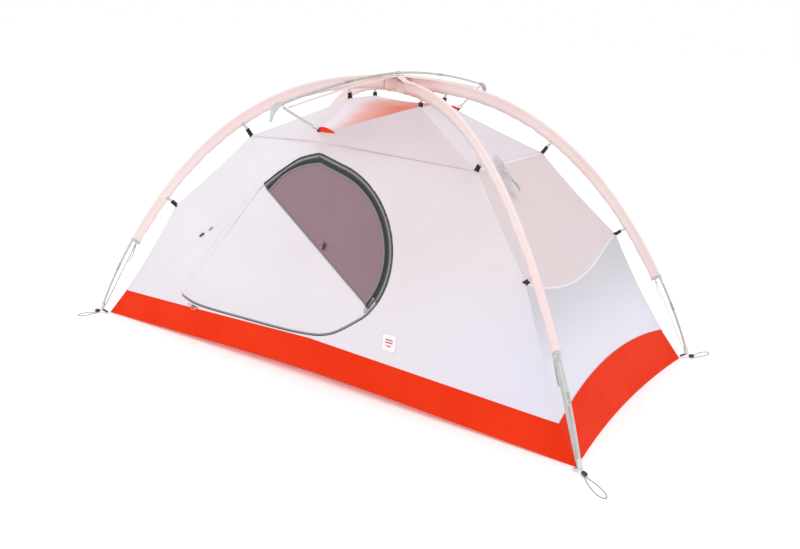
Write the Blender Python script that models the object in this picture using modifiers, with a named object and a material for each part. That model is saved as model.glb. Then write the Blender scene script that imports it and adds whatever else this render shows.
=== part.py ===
"""Two-person dome tent: an inner tent hung by clips under two crossing hoop poles.

Metres, +Z up. X runs along the tent, the front door faces -Y, and the origin is
on the ground under the crossing. Quadrants are (sign of x, sign of y).
"""

import math

import bmesh
import bpy
import numpy as np
from mathutils import Matrix, Vector

# Driving dimensions.
FLOOR_LENGTH = 2.160
FLOOR_WIDTH = 1.106
FLOOR_END_BOW = 0.034  # how far the short sides of the floor curve in
BAND_HEIGHT = 0.110  # orange side of the floor, at its corners
BAND_END_RISE = 0.050  # and how much taller it is in the middle of an end
FLOOR_SIDE_LIFT = 0.036  # how far the tight wall lifts the middle of a long side's lower edge
BAND_SIDE_LIFT = 0.030  # and its upper edge
POLE_ANGLE = math.radians(27.8)  # plan angle between a hoop and the long axis
POLE_REACH = 1.250  # centre of the tent to the foot of a hoop
POLE_FOOT_REACH = 1.243  # where the pole ends in its cup
POLE_RADIUS = 0.0045
UPPER_HOOP_HEIGHT = 1.066
LOWER_HOOP_HEIGHT = 1.054
HOOP_BASE_POWER = 2.4
HOOP_CROWN_POWER = 0.893
BROW_REACH = 0.683
BROW_HEIGHT = 1.083
BROW_DROP = 0.074
BROW_POWER = 1.8
SLEEVE_END_REACH = 1.090
SLEEVE_TOP_REACH = 0.050
SLEEVE_LOW_DEPTH = 0.034
SLEEVE_TOP_DEPTH = 0.046

# Fabric corners in a hoop's plane: (distance from the centre, height).
BAND_CORNER = (1.130, BAND_HEIGHT)
LOW_CLIP = (0.896, 0.502)
MID_CLIP = (0.577, 0.807)
TOP_CLIP = (0.183, 0.977)
BROW_CLIP = (0.485, 0.899)  # (distance along Y, height)
BROW_SEAM = (0.480, 0.868)
BROW_TAB = 0.010  # half width of the cloth where the brow clip holds it
HIP_SAG = 0.008

# The door lies in one flat plane that leans in by DOOR_LEAN metres per metre.
DOOR_FOOT_Y = -0.538
DOOR_LEAN = 0.110
DOOR_CENTRE = (0.0186, 0.4964)
DOOR_RADIUS = 0.305
WINDOW_RADIUS = 0.270
HINGE_FOOT = (-0.667, 0.163)
HINGE_HEAD = (-0.272, 0.677)
WINDOW_SILL_LOW = (0.250, 0.309)
WINDOW_SILL_HIGH = (-0.256, 0.657)
DOOR_PULL = (-0.600, 0.1315)
WINDOW_PULL = math.radians(-30)  # round the window's arc
FLAP_DEPTH = 0.012  # how far behind the door the folded flap hangs

FABRIC = 0.0015
SEAM_GAP = 0.0025
TOUCH_GAP = 0.0004
DOOR_GAP = 0.0030
WINDOW_GAP = 0.0015
WEBBING = 0.0015
STRAP_WIDTH = 0.015
BUCKLE_LENGTH = 0.019
BUCKLE_BAR = (0.0055, 0.020)  # its upper bar, past a sleeve's end and in from the pole
CUP_RADIUS = 0.0080
CUP_GRIP = 0.0072  # how far in from the pole's centre the straps meet the cup
STRAP_BEND = (1.2225, 0.045)  # where the rising strap turns up from the cup, in a hoop's plane
FLOOR_TIE_END = (1.2185, 0.0040)
CLIP_TWIST = math.radians(-58)  # turn of a wall clip's tab from square across its hoop
CORD_RADIUS = 0.0010

CORNERS = {
    "front_left": (-1, -1),
    "front_right": (1, -1),
    "back_right": (1, 1),
    "back_left": (-1, 1),
}
SIDES = {"front": Matrix.Identity(4), "back": Matrix.Rotation(math.pi, 4, "Z")}
ENDS = {"right": Matrix.Identity(4), "left": Matrix.Rotation(math.pi, 4, "Z")}

HANK_CENTRE = (0.5565, -0.125, 0.782)

# Direction, in degrees from +X, and length of each stake loop where it lies.
STAKE_LOOPS = {
    "front_left": (-112, 0.085),
    "front_right": (-40, 0.130),
    "back_right": (68, 0.115),
    "back_left": (150, 0.110),
}


# Scene, collections and materials.
def clear_scene():
    for item in list(bpy.data.objects):
        bpy.data.objects.remove(item, do_unlink=True)


def new_collection(name):
    collection = bpy.data.collections.new(name)
    bpy.context.scene.collection.children.link(collection)
    return collection


def new_material(name, color, roughness, metallic=0.0):
    material = bpy.data.materials.new(name)
    material.use_nodes = True
    shader = material.node_tree.nodes["Principled BSDF"]
    shader.inputs["Base Color"].default_value = (*color, 1.0)
    shader.inputs["Roughness"].default_value = roughness
    shader.inputs["Metallic"].default_value = metallic
    return material


clear_scene()
PARTS = new_collection("dome_tent")
CUTTERS = new_collection("cutters")
FLOOR_FABRIC = new_material("floor_fabric", (0.90, 0.06, 0.02), 0.55)
WALL_FABRIC = new_material("wall_fabric", (0.86, 0.83, 0.86), 0.60)
ROOF_FABRIC = new_material("roof_fabric", (0.88, 0.18, 0.10), 0.60)
MESH_FABRIC = new_material("mesh_fabric", (0.24, 0.17, 0.20), 0.85)
SLEEVE_FABRIC = new_material("sleeve_fabric", (0.93, 0.72, 0.69), 0.60)
POLE_METAL = new_material("pole_metal", (0.70, 0.70, 0.72), 0.30, 1.0)
BLACK_WEBBING = new_material("black_webbing", (0.02, 0.02, 0.025), 0.75)
PALE_WEBBING = new_material("pale_webbing", (0.75, 0.75, 0.76), 0.70)
BUCKLE_PLASTIC = new_material("buckle_plastic", (0.62, 0.63, 0.65), 0.40)
ZIP_METAL = new_material("zip_metal", (0.25, 0.25, 0.26), 0.35, 1.0)
CORD_BRAID = new_material("cord_braid", (0.55, 0.55, 0.58), 0.80)


# Objects.
def link(name, data, material, matrix=None, collection=None):
    item = bpy.data.objects.new(name, data)
    (collection or PARTS).objects.link(item)
    if material:
        data.materials.append(material)
    if matrix is not None:
        item.matrix_world = matrix
    return item


def mesh_object(name, points, faces, material, matrix=None, collection=None):
    mesh = bpy.data.meshes.new(name)
    mesh.from_pydata([tuple(p) for p in points], [], faces)
    shape = bmesh.new()
    shape.from_mesh(mesh)
    bmesh.ops.recalc_face_normals(shape, faces=shape.faces)
    shape.to_mesh(mesh)
    shape.free()
    return link(name, mesh, material, matrix, collection)


def as_cutter(item):
    item.hide_render = True
    item.display_type = "WIRE"
    return item


def boolean(item, other, operation):
    modifier = item.modifiers.new(operation.lower(), "BOOLEAN")
    modifier.operation = operation
    modifier.object = other
    modifier.solver = "EXACT"


def joint_empty(name, point, matrix=None):
    """An empty on a joint's axis, for the moving pieces to hang from."""
    empty = bpy.data.objects.new(name, None)
    PARTS.objects.link(empty)
    place = Matrix.Translation(point)
    empty.matrix_world = matrix @ place if matrix is not None else place
    return empty


def hang(item, empty):
    world = item.matrix_world.copy()
    item.parent = empty
    item.matrix_parent_inverse = empty.matrix_world.inverted()
    item.matrix_world = world


def tube(name, points, radius, material, matrix=None):
    """A round rod or cord through the points."""
    curve = bpy.data.curves.new(name, "CURVE")
    curve.dimensions = "3D"
    curve.bevel_depth = radius
    curve.bevel_resolution = 2
    curve.use_fill_caps = True
    spline = curve.splines.new("POLY")
    spline.points.add(len(points) - 1)
    for vertex, point in zip(spline.points, points):
        vertex.co = (*point, 1.0)
    return link(name, curve, material, matrix)


def loft(name, rings, material, matrix=None, collection=None):
    """A closed solid through rings of equal length, with a cap at each end."""
    count = len(rings[0])
    points = [p for ring in rings for p in ring]
    faces = [tuple(range(count)), tuple(range(len(points) - count, len(points)))]
    for row in range(len(rings) - 1):
        for i in range(count):
            j = (i + 1) % count
            a, b = row * count, (row + 1) * count
            faces.append((a + i, a + j, b + j, b + i))
    return mesh_object(name, points, faces, material, matrix, collection)


def strap(name, path, sections, across, material, matrix=None, collection=None):
    """A flat strap along path. Sections are (width, thickness); width runs along across."""
    across = Vector(across).normalized()
    path = [Vector(p) for p in path]
    rings = []
    for i, point in enumerate(path):
        before, after = path[max(i - 1, 0)], path[min(i + 1, len(path) - 1)]
        out = (after - before).normalized().cross(across).normalized()
        width, thick = sections[min(i, len(sections) - 1)]
        side, face = across * width / 2, out * thick / 2
        rings.append([point - side - face, point + side - face, point + side + face, point - side + face])
    return loft(name, rings, material, matrix, collection)


def outline_curve(name, outlines, thickness, material, matrix, collection=None):
    """A flat plate: closed outlines in the XY plane of matrix, the later ones as holes."""
    curve = bpy.data.curves.new(name, "CURVE")
    curve.dimensions = "2D"
    curve.fill_mode = "BOTH"
    curve.extrude = thickness / 2
    for outline in outlines:
        spline = curve.splines.new("POLY")
        spline.points.add(len(outline) - 1)
        for vertex, (x, y) in zip(spline.points, outline):
            vertex.co = (x, y, 0.0, 1.0)
        spline.use_cyclic_u = True
    return link(name, curve, material, matrix, collection)


def welded(item, material, collection):
    """The mesh of a curve, with its caps welded on, in the same place and in place of the curve."""
    bpy.context.view_layer.update()
    graph = bpy.context.evaluated_depsgraph_get()
    mesh = bpy.data.meshes.new_from_object(item.evaluated_get(graph))
    shape = bmesh.new()
    shape.from_mesh(mesh)
    bmesh.ops.remove_doubles(shape, verts=shape.verts, dist=1e-5)
    bmesh.ops.recalc_face_normals(shape, faces=shape.faces)
    shape.to_mesh(mesh)
    shape.free()
    name, matrix = item.name, item.matrix_world.copy()
    bpy.data.objects.remove(item, do_unlink=True)
    return link(name, mesh, material, matrix, collection)


def welded_cutter(item):
    return as_cutter(welded(item, None, CUTTERS))


# Curves of the frame.
def hoop_height(reach, top):
    return top * (1 - (abs(reach) / POLE_REACH) ** HOOP_BASE_POWER) ** HOOP_CROWN_POWER


def stations(start, end, steps):
    """Distances from the centre along half a hoop, closer together where it is steep."""
    low, high = math.asin(start / POLE_REACH), math.asin(end / POLE_REACH)
    return [POLE_REACH * math.sin(low + (high - low) * i / steps) for i in range(steps + 1)]


SLEEVE_STATIONS = stations(SLEEVE_TOP_REACH, SLEEVE_END_REACH, 14)
LEG_STATIONS = stations(SLEEVE_END_REACH, POLE_FOOT_REACH, 6)


def hoop_top(quadrant):
    return UPPER_HOOP_HEIGHT if quadrant[0] == quadrant[1] else LOWER_HOOP_HEIGHT


def in_plane(quadrant, reach, height, aside=0.0):
    """World point from a place in the hoop plane of one quadrant."""
    angle = math.atan2(quadrant[1] * math.sin(POLE_ANGLE), quadrant[0] * math.cos(POLE_ANGLE))
    along = Vector((math.cos(angle), math.sin(angle), 0.0))
    beside = Vector((-along.y, along.x, 0.0))
    return along * reach + beside * aside + Vector((0.0, 0.0, height))


def beside_plane(quadrant):
    return in_plane(quadrant, 0.0, 0.0, 1.0)


def hip_points(quadrant, knots, steps):
    """The edge of the tent body under a hoop, sagging a little between its clips."""
    points = []
    for start, end in zip(knots, knots[1:]):
        for i in range(steps):
            t = i / steps
            reach = start[0] + (end[0] - start[0]) * t - HIP_SAG * 4 * t * (1 - t)
            points.append(in_plane(quadrant, reach, start[1] + (end[1] - start[1]) * t))
    points.append(in_plane(quadrant, *knots[-1]))
    return np.array(points)


def resample(points, count):
    """Points an equal way apart along a polyline."""
    points = np.array(points, float)
    lengths = np.linalg.norm(np.diff(points, axis=0), axis=1)
    at = np.concatenate([[0.0], np.cumsum(lengths)])
    wanted = np.linspace(0.0, at[-1], count)
    return np.stack([np.interp(wanted, at, points[:, k]) for k in range(points.shape[1])], axis=1)


def along(knots, counts):
    """Points along a polyline that keep its knots, with counts steps in each span."""
    points = [np.array(knots[0], float)]
    for start, end, count in zip(knots, knots[1:], counts):
        start, end = np.array(start, float), np.array(end, float)
        points += [start + (end - start) * (i + 1) / count for i in range(count)]
    return np.array(points)


def smooth(points, per_span, closed=False):
    """A Catmull-Rom curve through the points."""
    points = np.array(points, float)
    count = len(points)
    out = []
    for i in range(count if closed else count - 1):
        if closed:
            a, b, c, d = (points[(i + k) % count] for k in (-1, 0, 1, 2))
        else:
            a, b, c, d = (points[min(max(i + k, 0), count - 1)] for k in (-1, 0, 1, 2))
        for j in range(per_span):
            t = j / per_span
            out.append(0.5 * (2 * b + (c - a) * t + (2 * a - 5 * b + 4 * c - d) * t**2
                              + (3 * b - a - 3 * c + d) * t**3))
    if not closed:
        out.append(points[-1])
    return np.array(out)


# Fabric surfaces, as grids of points [row, column].
def coons_grid(bottom, top, left, right):
    rows, columns = len(left), len(bottom)
    v = np.linspace(0, 1, rows)[:, None, None]
    u = np.linspace(0, 1, columns)[None, :, None]
    ruled = (1 - v) * bottom[None] + v * top[None] + (1 - u) * left[:, None] + u * right[:, None]
    corners = ((1 - u) * (1 - v) * bottom[0] + u * (1 - v) * bottom[-1]
               + (1 - u) * v * top[0] + u * v * top[-1])
    return ruled - corners


def relaxed(grid, steps, settle=None):
    """Pulls the inside of a grid tight, like stretched cloth, with its border held."""
    grid = grid.copy()
    for _ in range(steps):
        grid[1:-1, 1:-1] = (grid[:-2, 1:-1] + grid[2:, 1:-1] + grid[1:-1, :-2] + grid[1:-1, 2:]) / 4
        if settle:
            settle(grid)
    return grid


def pulled_in(grid, gap):
    """Moves the grid's border in by gap, for the seam to the next panel."""
    grid = grid.copy()
    for edge, inner in ((grid[0], grid[1]), (grid[-1], grid[-2]),
                        (grid[:, 0], grid[:, 1]), (grid[:, -1], grid[:, -2])):
        way = inner - edge
        edge += way * gap / np.linalg.norm(way, axis=1, keepdims=True)
    return grid


def sheet(name, grid, material, matrix=None):
    """A panel of cloth of even thickness from a grid."""
    rows, columns = grid.shape[:2]
    faces = [(r * columns + c, r * columns + c + 1, (r + 1) * columns + c + 1, (r + 1) * columns + c)
             for r in range(rows - 1) for c in range(columns - 1)]
    item = mesh_object(name, grid.reshape(-1, 3), faces, material, matrix)
    solidify = item.modifiers.new("thickness", "SOLIDIFY")
    solidify.thickness = FABRIC
    solidify.offset = 0.0
    return item


# Floor.
def side_lift(t):
    """Share of the lift of a long side, from 0 at its ends (t of -1 and 1) to 1 in its middle."""
    return (1 - abs(t)) ** 1.1


def band_top(t):
    """The upper edge of the front side of the floor, from its left end (-1) to its right end (1)."""
    corner = in_plane((1, 1), *BAND_CORNER)
    lift = BAND_SIDE_LIFT * side_lift(t)
    return Vector((corner.x * t, -corner.y + DOOR_LEAN * lift, BAND_HEIGHT + lift))


def floor_outline(count):
    """Bottom edge and top edge of the floor's sides, point for point."""
    half_x, half_y = FLOOR_LENGTH / 2, FLOOR_WIDTH / 2
    corner = in_plane((1, 1), *BAND_CORNER)
    bottom, top = [], []
    for sign in (1, -1):
        for i in range(count):
            t = -1 + 2 * i / count
            bow = 1 - t * t
            bottom.append((sign * (half_x - FLOOR_END_BOW * bow), sign * half_y * t, 0.0))
            top.append((sign * (corner.x - FLOOR_END_BOW * bow), sign * corner.y * t,
                        BAND_HEIGHT + BAND_END_RISE * bow))
        for i in range(count):
            t = 1 - 2 * i / count
            bottom.append((sign * half_x * t, sign * half_y, FLOOR_SIDE_LIFT * side_lift(t)))
            edge = band_top(-t)
            top.append((-sign * edge.x, -sign * edge.y, edge.z))
    return bottom, top


def build_floor():
    """A base that lies flat inside its inner ring, and the sides round it."""
    count, rows, inset = 14, 3, 0.90
    bottom, top = floor_outline(count)
    size = len(bottom)
    bottom = [Vector(p) + Vector((0, 0, FABRIC / 2)) for p in bottom]
    points = [Vector((p.x * inset, p.y * inset, FABRIC / 2)) for p in bottom]
    for row in range(rows):
        t = row / (rows - 1)
        points += [low.lerp(Vector(high), t) for low, high in zip(bottom, top)]
    faces = [tuple(range(size))]
    for row in range(rows):
        for i in range(size):
            j = (i + 1) % size
            faces.append((row * size + i, row * size + j, (row + 1) * size + j, (row + 1) * size + i))
    item = mesh_object("floor_tub", points, faces, FLOOR_FABRIC)
    solidify = item.modifiers.new("thickness", "SOLIDIFY")
    solidify.thickness = FABRIC
    solidify.offset = 0.0
    solidify.use_even_offset = True


# Door, in the flat plane of the front wall.
def door_matrix(outward=0.0):
    slope = Vector((0.0, DOOR_LEAN, 1.0)).normalized()
    along = Vector((1.0, 0.0, 0.0))
    normal = along.cross(slope)
    place = Matrix((along, slope, normal)).transposed().to_4x4()
    place.translation = Vector((0.0, DOOR_FOOT_Y, 0.0)) + normal * outward
    return place


def door_point(x, up, outward=0.0):
    return door_matrix(outward) @ Vector((x, up, 0.0))


def arc(centre, radius, start, end, steps):
    angles = np.radians(np.linspace(start, end, steps + 1))
    return [(centre[0] + radius * math.cos(a), centre[1] + radius * math.sin(a)) for a in angles]


def door_outline():
    """Hinge line, upper left to the peak, round right side, and the straight zip along the foot."""
    over = smooth([HINGE_HEAD, (-0.190, 0.741), (-0.111, 0.793), (-0.023, 0.822)], 3)
    right = arc(DOOR_CENTRE, DOOR_RADIUS, 74, -48, 14)
    under = smooth([right[-1], (0.092, 0.182), (-0.050, 0.153), (-0.300, 0.144), (-0.563, 0.142),
                    HINGE_FOOT], 2)
    return [tuple(p) for p in over] + right + [tuple(p) for p in under[1:]]


def window_outline():
    """From the sill's high end over the peak and round to the sill's low end."""
    over = smooth([(-0.2475, 0.6512), (-0.178, 0.722), (-0.098, 0.766), (-0.018, 0.787)], 3)
    right = arc(DOOR_CENTRE, WINDOW_RADIUS, 74, -39.5, 12)
    return [tuple(p) for p in over] + right


def grown(outline, amount):
    """The outline with every edge moved out by amount, or in where it is negative."""
    points = np.array(outline)
    ahead = np.roll(points, -1, axis=0) - points
    ahead /= np.linalg.norm(ahead, axis=1, keepdims=True)
    area = np.sum(points[:, 0] * np.roll(points[:, 1], -1) - points[:, 1] * np.roll(points[:, 0], -1))
    after = np.stack([ahead[:, 1], -ahead[:, 0]], axis=1) * np.sign(area)
    before = np.roll(after, 1, axis=0)
    mitre = 1 + np.sum(after * before, axis=1, keepdims=True)
    return [tuple(p) for p in points + amount * (after + before) / mitre]


def mirrored_in_sill(outline):
    """The window's outline folded down over its straight sill."""
    base = np.array(WINDOW_SILL_LOW)
    way = np.array(WINDOW_SILL_HIGH) - base
    way /= np.linalg.norm(way)
    out = np.array(outline) - base
    return [tuple(p) for p in base + 2 * np.outer(out @ way, way) - out]


def flat_in_door(grid):
    """Holds the cloth round the door opening in the door's plane."""
    margin = 0.030
    points = np.array(grown(door_outline(), margin))
    lean = math.hypot(1.0, DOOR_LEAN)
    inside = np.ones(grid.shape[:2], bool)
    for (x0, y0), (x1, y1) in zip(points, np.roll(points, -1, axis=0)):
        inside &= (x1 - x0) * (grid[..., 2] * lean - y0) - (y1 - y0) * (grid[..., 0] - x0) < 0
    inside[0] = inside[-1] = inside[:, 0] = inside[:, -1] = False
    grid[inside, 1] = DOOR_FOOT_Y + DOOR_LEAN * grid[inside, 2]


def build_side_wall(side, matrix):
    """The long wall from the floor's side up to the seam under the brow clip, open at its door."""
    knots = (BAND_CORNER, LOW_CLIP, MID_CLIP)
    columns, rows = 27, 15
    left = resample(hip_points((-1, -1), knots, 6), rows)
    right = resample(hip_points((1, -1), knots, 6), rows)
    half = columns // 2
    seam = along([left[-1], (0.0, -BROW_SEAM[0], BROW_SEAM[1]), right[-1]], (half, half))
    foot = np.array([band_top(t) for t in np.linspace(-1, 1, columns)])
    grid = relaxed(coons_grid(foot, seam, left, right), 300, flat_in_door)
    wall = sheet(f"{side}_wall", pulled_in(grid, SEAM_GAP), WALL_FABRIC, matrix)
    cutter_depth = 0.060
    hole = outline_curve(f"{side}_door_cutter", [grown(door_outline(), DOOR_GAP)], cutter_depth, None,
                         matrix @ door_matrix())
    boolean(wall, welded_cutter(hole), "DIFFERENCE")


def build_door(side, matrix):
    """The door's cloth with its window hole, the net in the hole and the flap folded down behind."""
    hinge = joint_empty(f"{side}_door_hinge", door_point(*HINGE_FOOT), matrix)
    panel = outline_curve(f"{side}_door_panel", [door_outline(), grown(window_outline(), WINDOW_GAP)],
                          FABRIC, WALL_FABRIC, matrix @ door_matrix())
    mesh = outline_curve(f"{side}_door_mesh", [window_outline()], FABRIC / 2, MESH_FABRIC,
                         matrix @ door_matrix())
    flap = outline_curve(f"{side}_window_flap", [mirrored_in_sill(window_outline())], FABRIC / 2,
                         WALL_FABRIC, matrix @ door_matrix(-FLAP_DEPTH))
    for piece in (panel, mesh, flap):
        hang(piece, hinge)


def zip_slider(name, place, material):
    """A slider body with its pull tab, made along the X axis of place."""
    body = [(-0.0060, 0.0045), (0.0, 0.0055), (0.0070, 0.0040), (0.0070, -0.0040), (0.0, -0.0055),
            (-0.0060, -0.0045)]
    tab = [(0.004, 0.0028), (0.028, 0.0022), (0.031, 0.0), (0.028, -0.0022), (0.004, -0.0028)]
    body_height, tab_height, tab_lift = 0.0040, 0.0018, 0.0025
    whole = welded(outline_curve(name, [body], body_height, None, place), material, PARTS)
    pull = outline_curve(f"{name}_pull", [tab], tab_height, None, place @ Matrix.Translation((0, 0, tab_lift)))
    boolean(whole, welded_cutter(pull), "UNION")
    return whole


def build_sliders(side, matrix):
    """The door's pull stands at the hinge end of its foot zip, the window's low on its arc."""
    foot = matrix @ door_matrix(0.004) @ Matrix.Translation((*DOOR_PULL, 0.0))
    zip_slider(f"{side}_door_slider", foot, ZIP_METAL)
    radius = (DOOR_RADIUS + WINDOW_RADIUS) / 2
    spot = Vector((*DOOR_CENTRE, 0.0)) + radius * Vector((math.cos(WINDOW_PULL), math.sin(WINDOW_PULL), 0.0))
    turn = Matrix.Rotation(WINDOW_PULL - math.pi / 2, 4, "Z")
    place = matrix @ door_matrix(0.0045) @ Matrix.Translation(spot) @ turn
    pivot = joint_empty(f"{side}_window_zip_centre", door_point(*DOOR_CENTRE), matrix)
    hang(zip_slider(f"{side}_window_slider", place, ZIP_METAL), pivot)


# Upper panels, roof and ends.
def build_upper(side, matrix):
    """The two triangles from the mid clips up to the top clips, joined under the brow clip."""
    steps = 6
    hips = [hip_points((sign, -1), (MID_CLIP, TOP_CLIP), steps) for sign in (-1, 1)]
    left, right = hips[0], hips[1][::-1]
    crest = [(-BROW_TAB, -BROW_CLIP[0], BROW_CLIP[1]), (BROW_TAB, -BROW_CLIP[0], BROW_CLIP[1])]
    top = np.concatenate([left[:-1], along([left[-1], *crest, right[0]], (steps, 1, steps)), right[1:]])
    seam = [(-BROW_TAB, -BROW_SEAM[0], BROW_SEAM[1]), (BROW_TAB, -BROW_SEAM[0], BROW_SEAM[1])]
    bottom = along([left[0], *seam, right[-1]], (2 * steps, 1, 2 * steps))
    grid = np.stack([bottom, (bottom + top) / 2, top])[:, 1:-1]
    sheet(f"{side}_upper_panel", pulled_in(grid, SEAM_GAP), WALL_FABRIC, matrix)


def build_roof():
    """The ridge of cloth from one brow clip to the other, held out by the four top clips."""
    near, far = in_plane((1, -1), *TOP_CLIP), in_plane((1, 1), *TOP_CLIP)
    edge = along([(BROW_TAB, -BROW_CLIP[0], BROW_CLIP[1]), near, far, (BROW_TAB, BROW_CLIP[0], BROW_CLIP[1])],
                 (6, 3, 6))
    across = np.linspace(-1, 1, 5)
    grid = np.stack([edge * np.array([a, 1.0, 1.0]) for a in across], axis=1)
    sheet("roof_panel", pulled_in(grid, SEAM_GAP), ROOF_FABRIC)


def build_end(end, matrix):
    """The end wall from the floor's side up to its mid clips, and the hood above it."""
    rows, columns = 13, 13
    knots = (BAND_CORNER, LOW_CLIP, MID_CLIP)
    left = resample(hip_points((1, -1), knots, 6), rows)
    right = resample(hip_points((1, 1), knots, 6), rows)
    t = np.linspace(-1, 1, columns)[:, None]
    bow = 1 - t**2
    foot = np.concatenate([left[0][0] - FLOOR_END_BOW * bow, right[0][1] * t,
                           BAND_HEIGHT + BAND_END_RISE * bow], axis=1)
    brow = resample([left[-1], right[-1]], columns)
    grid = relaxed(coons_grid(foot, brow, left, right), 200)
    sheet(f"{end}_end_wall", pulled_in(grid, SEAM_GAP), WALL_FABRIC, matrix)
    left = hip_points((1, -1), (MID_CLIP, TOP_CLIP), 6)
    right = hip_points((1, 1), (MID_CLIP, TOP_CLIP), 6)
    hood = coons_grid(resample([left[0], right[0]], 7), resample([left[-1], right[-1]], 7), left, right)
    sheet(f"{end}_hood", pulled_in(hood, SEAM_GAP), WALL_FABRIC, matrix)


# Poles and sleeves.
def build_hoops():
    """The two hoop poles, each whole from foot to foot."""
    half = [*SLEEVE_STATIONS, *LEG_STATIONS[1:]]
    reaches = [-r for r in reversed(half)] + half
    for name, quadrant in (("upper_hoop_pole", (1, 1)), ("lower_hoop_pole", (1, -1))):
        points = [in_plane(quadrant, r, hoop_height(r, hoop_top(quadrant))) for r in reaches]
        tube(name, points, POLE_RADIUS, POLE_METAL)


def sleeve_depth(reach):
    t = (SLEEVE_END_REACH - reach) / (SLEEVE_END_REACH - SLEEVE_TOP_REACH)
    return SLEEVE_LOW_DEPTH + (SLEEVE_TOP_DEPTH - SLEEVE_LOW_DEPTH) * t


def hoop_frame(quadrant, reach):
    """Point, tangent and inward normal of a hoop, in the hoop's plane."""
    top, step = hoop_top(quadrant), 1e-4
    here = Vector((reach, hoop_height(reach, top)))
    ahead = Vector((reach + step, hoop_height(reach + step, top)))
    tangent = (ahead - here).normalized()
    return here, tangent, Vector((tangent.y, -tangent.x))


def build_sleeve(corner, quadrant):
    """A fabric sleeve: a round bore for the pole, drawn out to a flat inner edge."""
    outer_radius, bore_radius, edge_half, sides = 0.0060, 0.0052, 0.0014, 12
    rings = []
    for reach in SLEEVE_STATIONS:
        centre, _, inward = hoop_frame(quadrant, reach)
        outer, inner = [], []
        for k in range(sides):
            angle = 2 * math.pi * (k + 0.5) / sides
            out, side = math.cos(angle), math.sin(angle)
            inner.append((-out * bore_radius, side * bore_radius))
            if out >= -0.5:
                outer.append((-out * outer_radius, side * outer_radius))
            else:
                outer.append((sleeve_depth(reach), math.copysign(edge_half, side)))
        rings.append([[in_plane(quadrant, *(centre + inward * depth), aside) for depth, aside in ring]
                      for ring in (outer, inner)])
    points = [p for pair in rings for ring in pair for p in ring]
    faces = []
    steps = len(rings) - 1
    for i in range(steps):
        for which in (0, 1):
            a = (2 * i + which) * sides
            b = a + 2 * sides
            faces += [(a + k, a + (k + 1) % sides, b + (k + 1) % sides, b + k) for k in range(sides)]
    for row in (0, steps):
        a = 2 * row * sides
        faces += [(a + k, a + (k + 1) % sides, a + sides + (k + 1) % sides, a + sides + k)
                  for k in range(sides)]
    mesh_object(f"{corner}_sleeve", points, faces, SLEEVE_FABRIC)


def brow_height(y):
    return BROW_HEIGHT - BROW_DROP * (abs(y) / BROW_REACH) ** BROW_POWER


def build_sleeve_hub():
    """The patch over the crossing, with a strip out to each end of the brow pole."""
    height, reach, width = 1.0740, 0.150, 0.044
    ribbons = []
    for level, quadrant in ((0.0, (1, 1)), (-0.0005, (1, -1))):
        places = [reach * i / 5 for i in range(-5, 6)]
        path = [in_plane(quadrant, r, height + level + hoop_height(r, 1.06) - 1.06) for r in places]
        name = f"hub_strip_{len(ribbons)}"
        ribbons.append(strap(name, path, [(width, FABRIC)], beside_plane(quadrant), SLEEVE_FABRIC))
    far, near, low = 0.655, 0.060, 0.997
    path = [(0, -far, low), (0, -near, height - 0.0003), (0, near, height - 0.0003), (0, far, low)]
    sections = [(0.014, FABRIC), (width, FABRIC), (width, FABRIC), (0.014, FABRIC)]
    whole = strap("sleeve_hub", path, sections, (1, 0, 0), SLEEVE_FABRIC)
    for ribbon in ribbons:
        PARTS.objects.unlink(ribbon)
        CUTTERS.objects.link(as_cutter(ribbon))
        boolean(whole, ribbon, "UNION")


def build_brow():
    """The brow pole, the plate and strap at each end of it, and its clip over the crossing."""
    steps = 22
    points = [(0.0, BROW_REACH * i / steps, brow_height(BROW_REACH * i / steps)) for i in range(-steps, steps + 1)]
    tube("brow_pole", points, POLE_RADIUS, POLE_METAL)
    end = BROW_REACH + TOUCH_GAP
    low = brow_height(BROW_REACH)
    for side, matrix in SIDES.items():
        cap = [(0, -end - 0.0005, low), (0, -end - 0.028, low - 0.006), (0, -end - 0.044, low - 0.024),
               (0, -end - 0.056, low - 0.055)]
        strap(f"{side}_brow_end", cap, [(0.030, 0.012), (0.026, 0.008), (0.014, 0.003), (0.012, 0.002)],
              (1, 0, 0), BUCKLE_PLASTIC, matrix)
        line = [(0, -end + 0.006, low - 0.012), (0, -BROW_CLIP[0] - 0.010, BROW_CLIP[1] + 0.008)]
        strap(f"{side}_brow_strap", line, [(0.010, WEBBING)], (1, 0, 0), PALE_WEBBING, matrix)
    sides, reach, outer, inner = 12, 0.014, 0.0068, 0.0050
    rings = []
    for y, radius in ((-reach, outer), (reach, outer), (reach, inner), (-reach, inner)):
        rings.append([(radius * math.cos(2 * math.pi * k / sides), y,
                       BROW_HEIGHT + radius * math.sin(2 * math.pi * k / sides)) for k in range(sides)])
    points = [p for ring in rings for p in ring]
    faces = [(i * sides + k, i * sides + (k + 1) % sides, (i + 1) % 4 * sides + (k + 1) % sides,
              (i + 1) % 4 * sides + k) for i in range(4) for k in range(sides)]
    mesh_object("brow_hub_clip", points, faces, BLACK_WEBBING)


# Clips and corners.
def nearest_reach(quadrant, place):
    reaches = np.linspace(0.05, 1.2, 2301)
    heights = hoop_top(quadrant) * (1 - (reaches / POLE_REACH) ** HOOP_BASE_POWER) ** HOOP_CROWN_POWER
    return float(reaches[np.argmin(np.hypot(reaches - place[0], heights - place[1]))])


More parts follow.
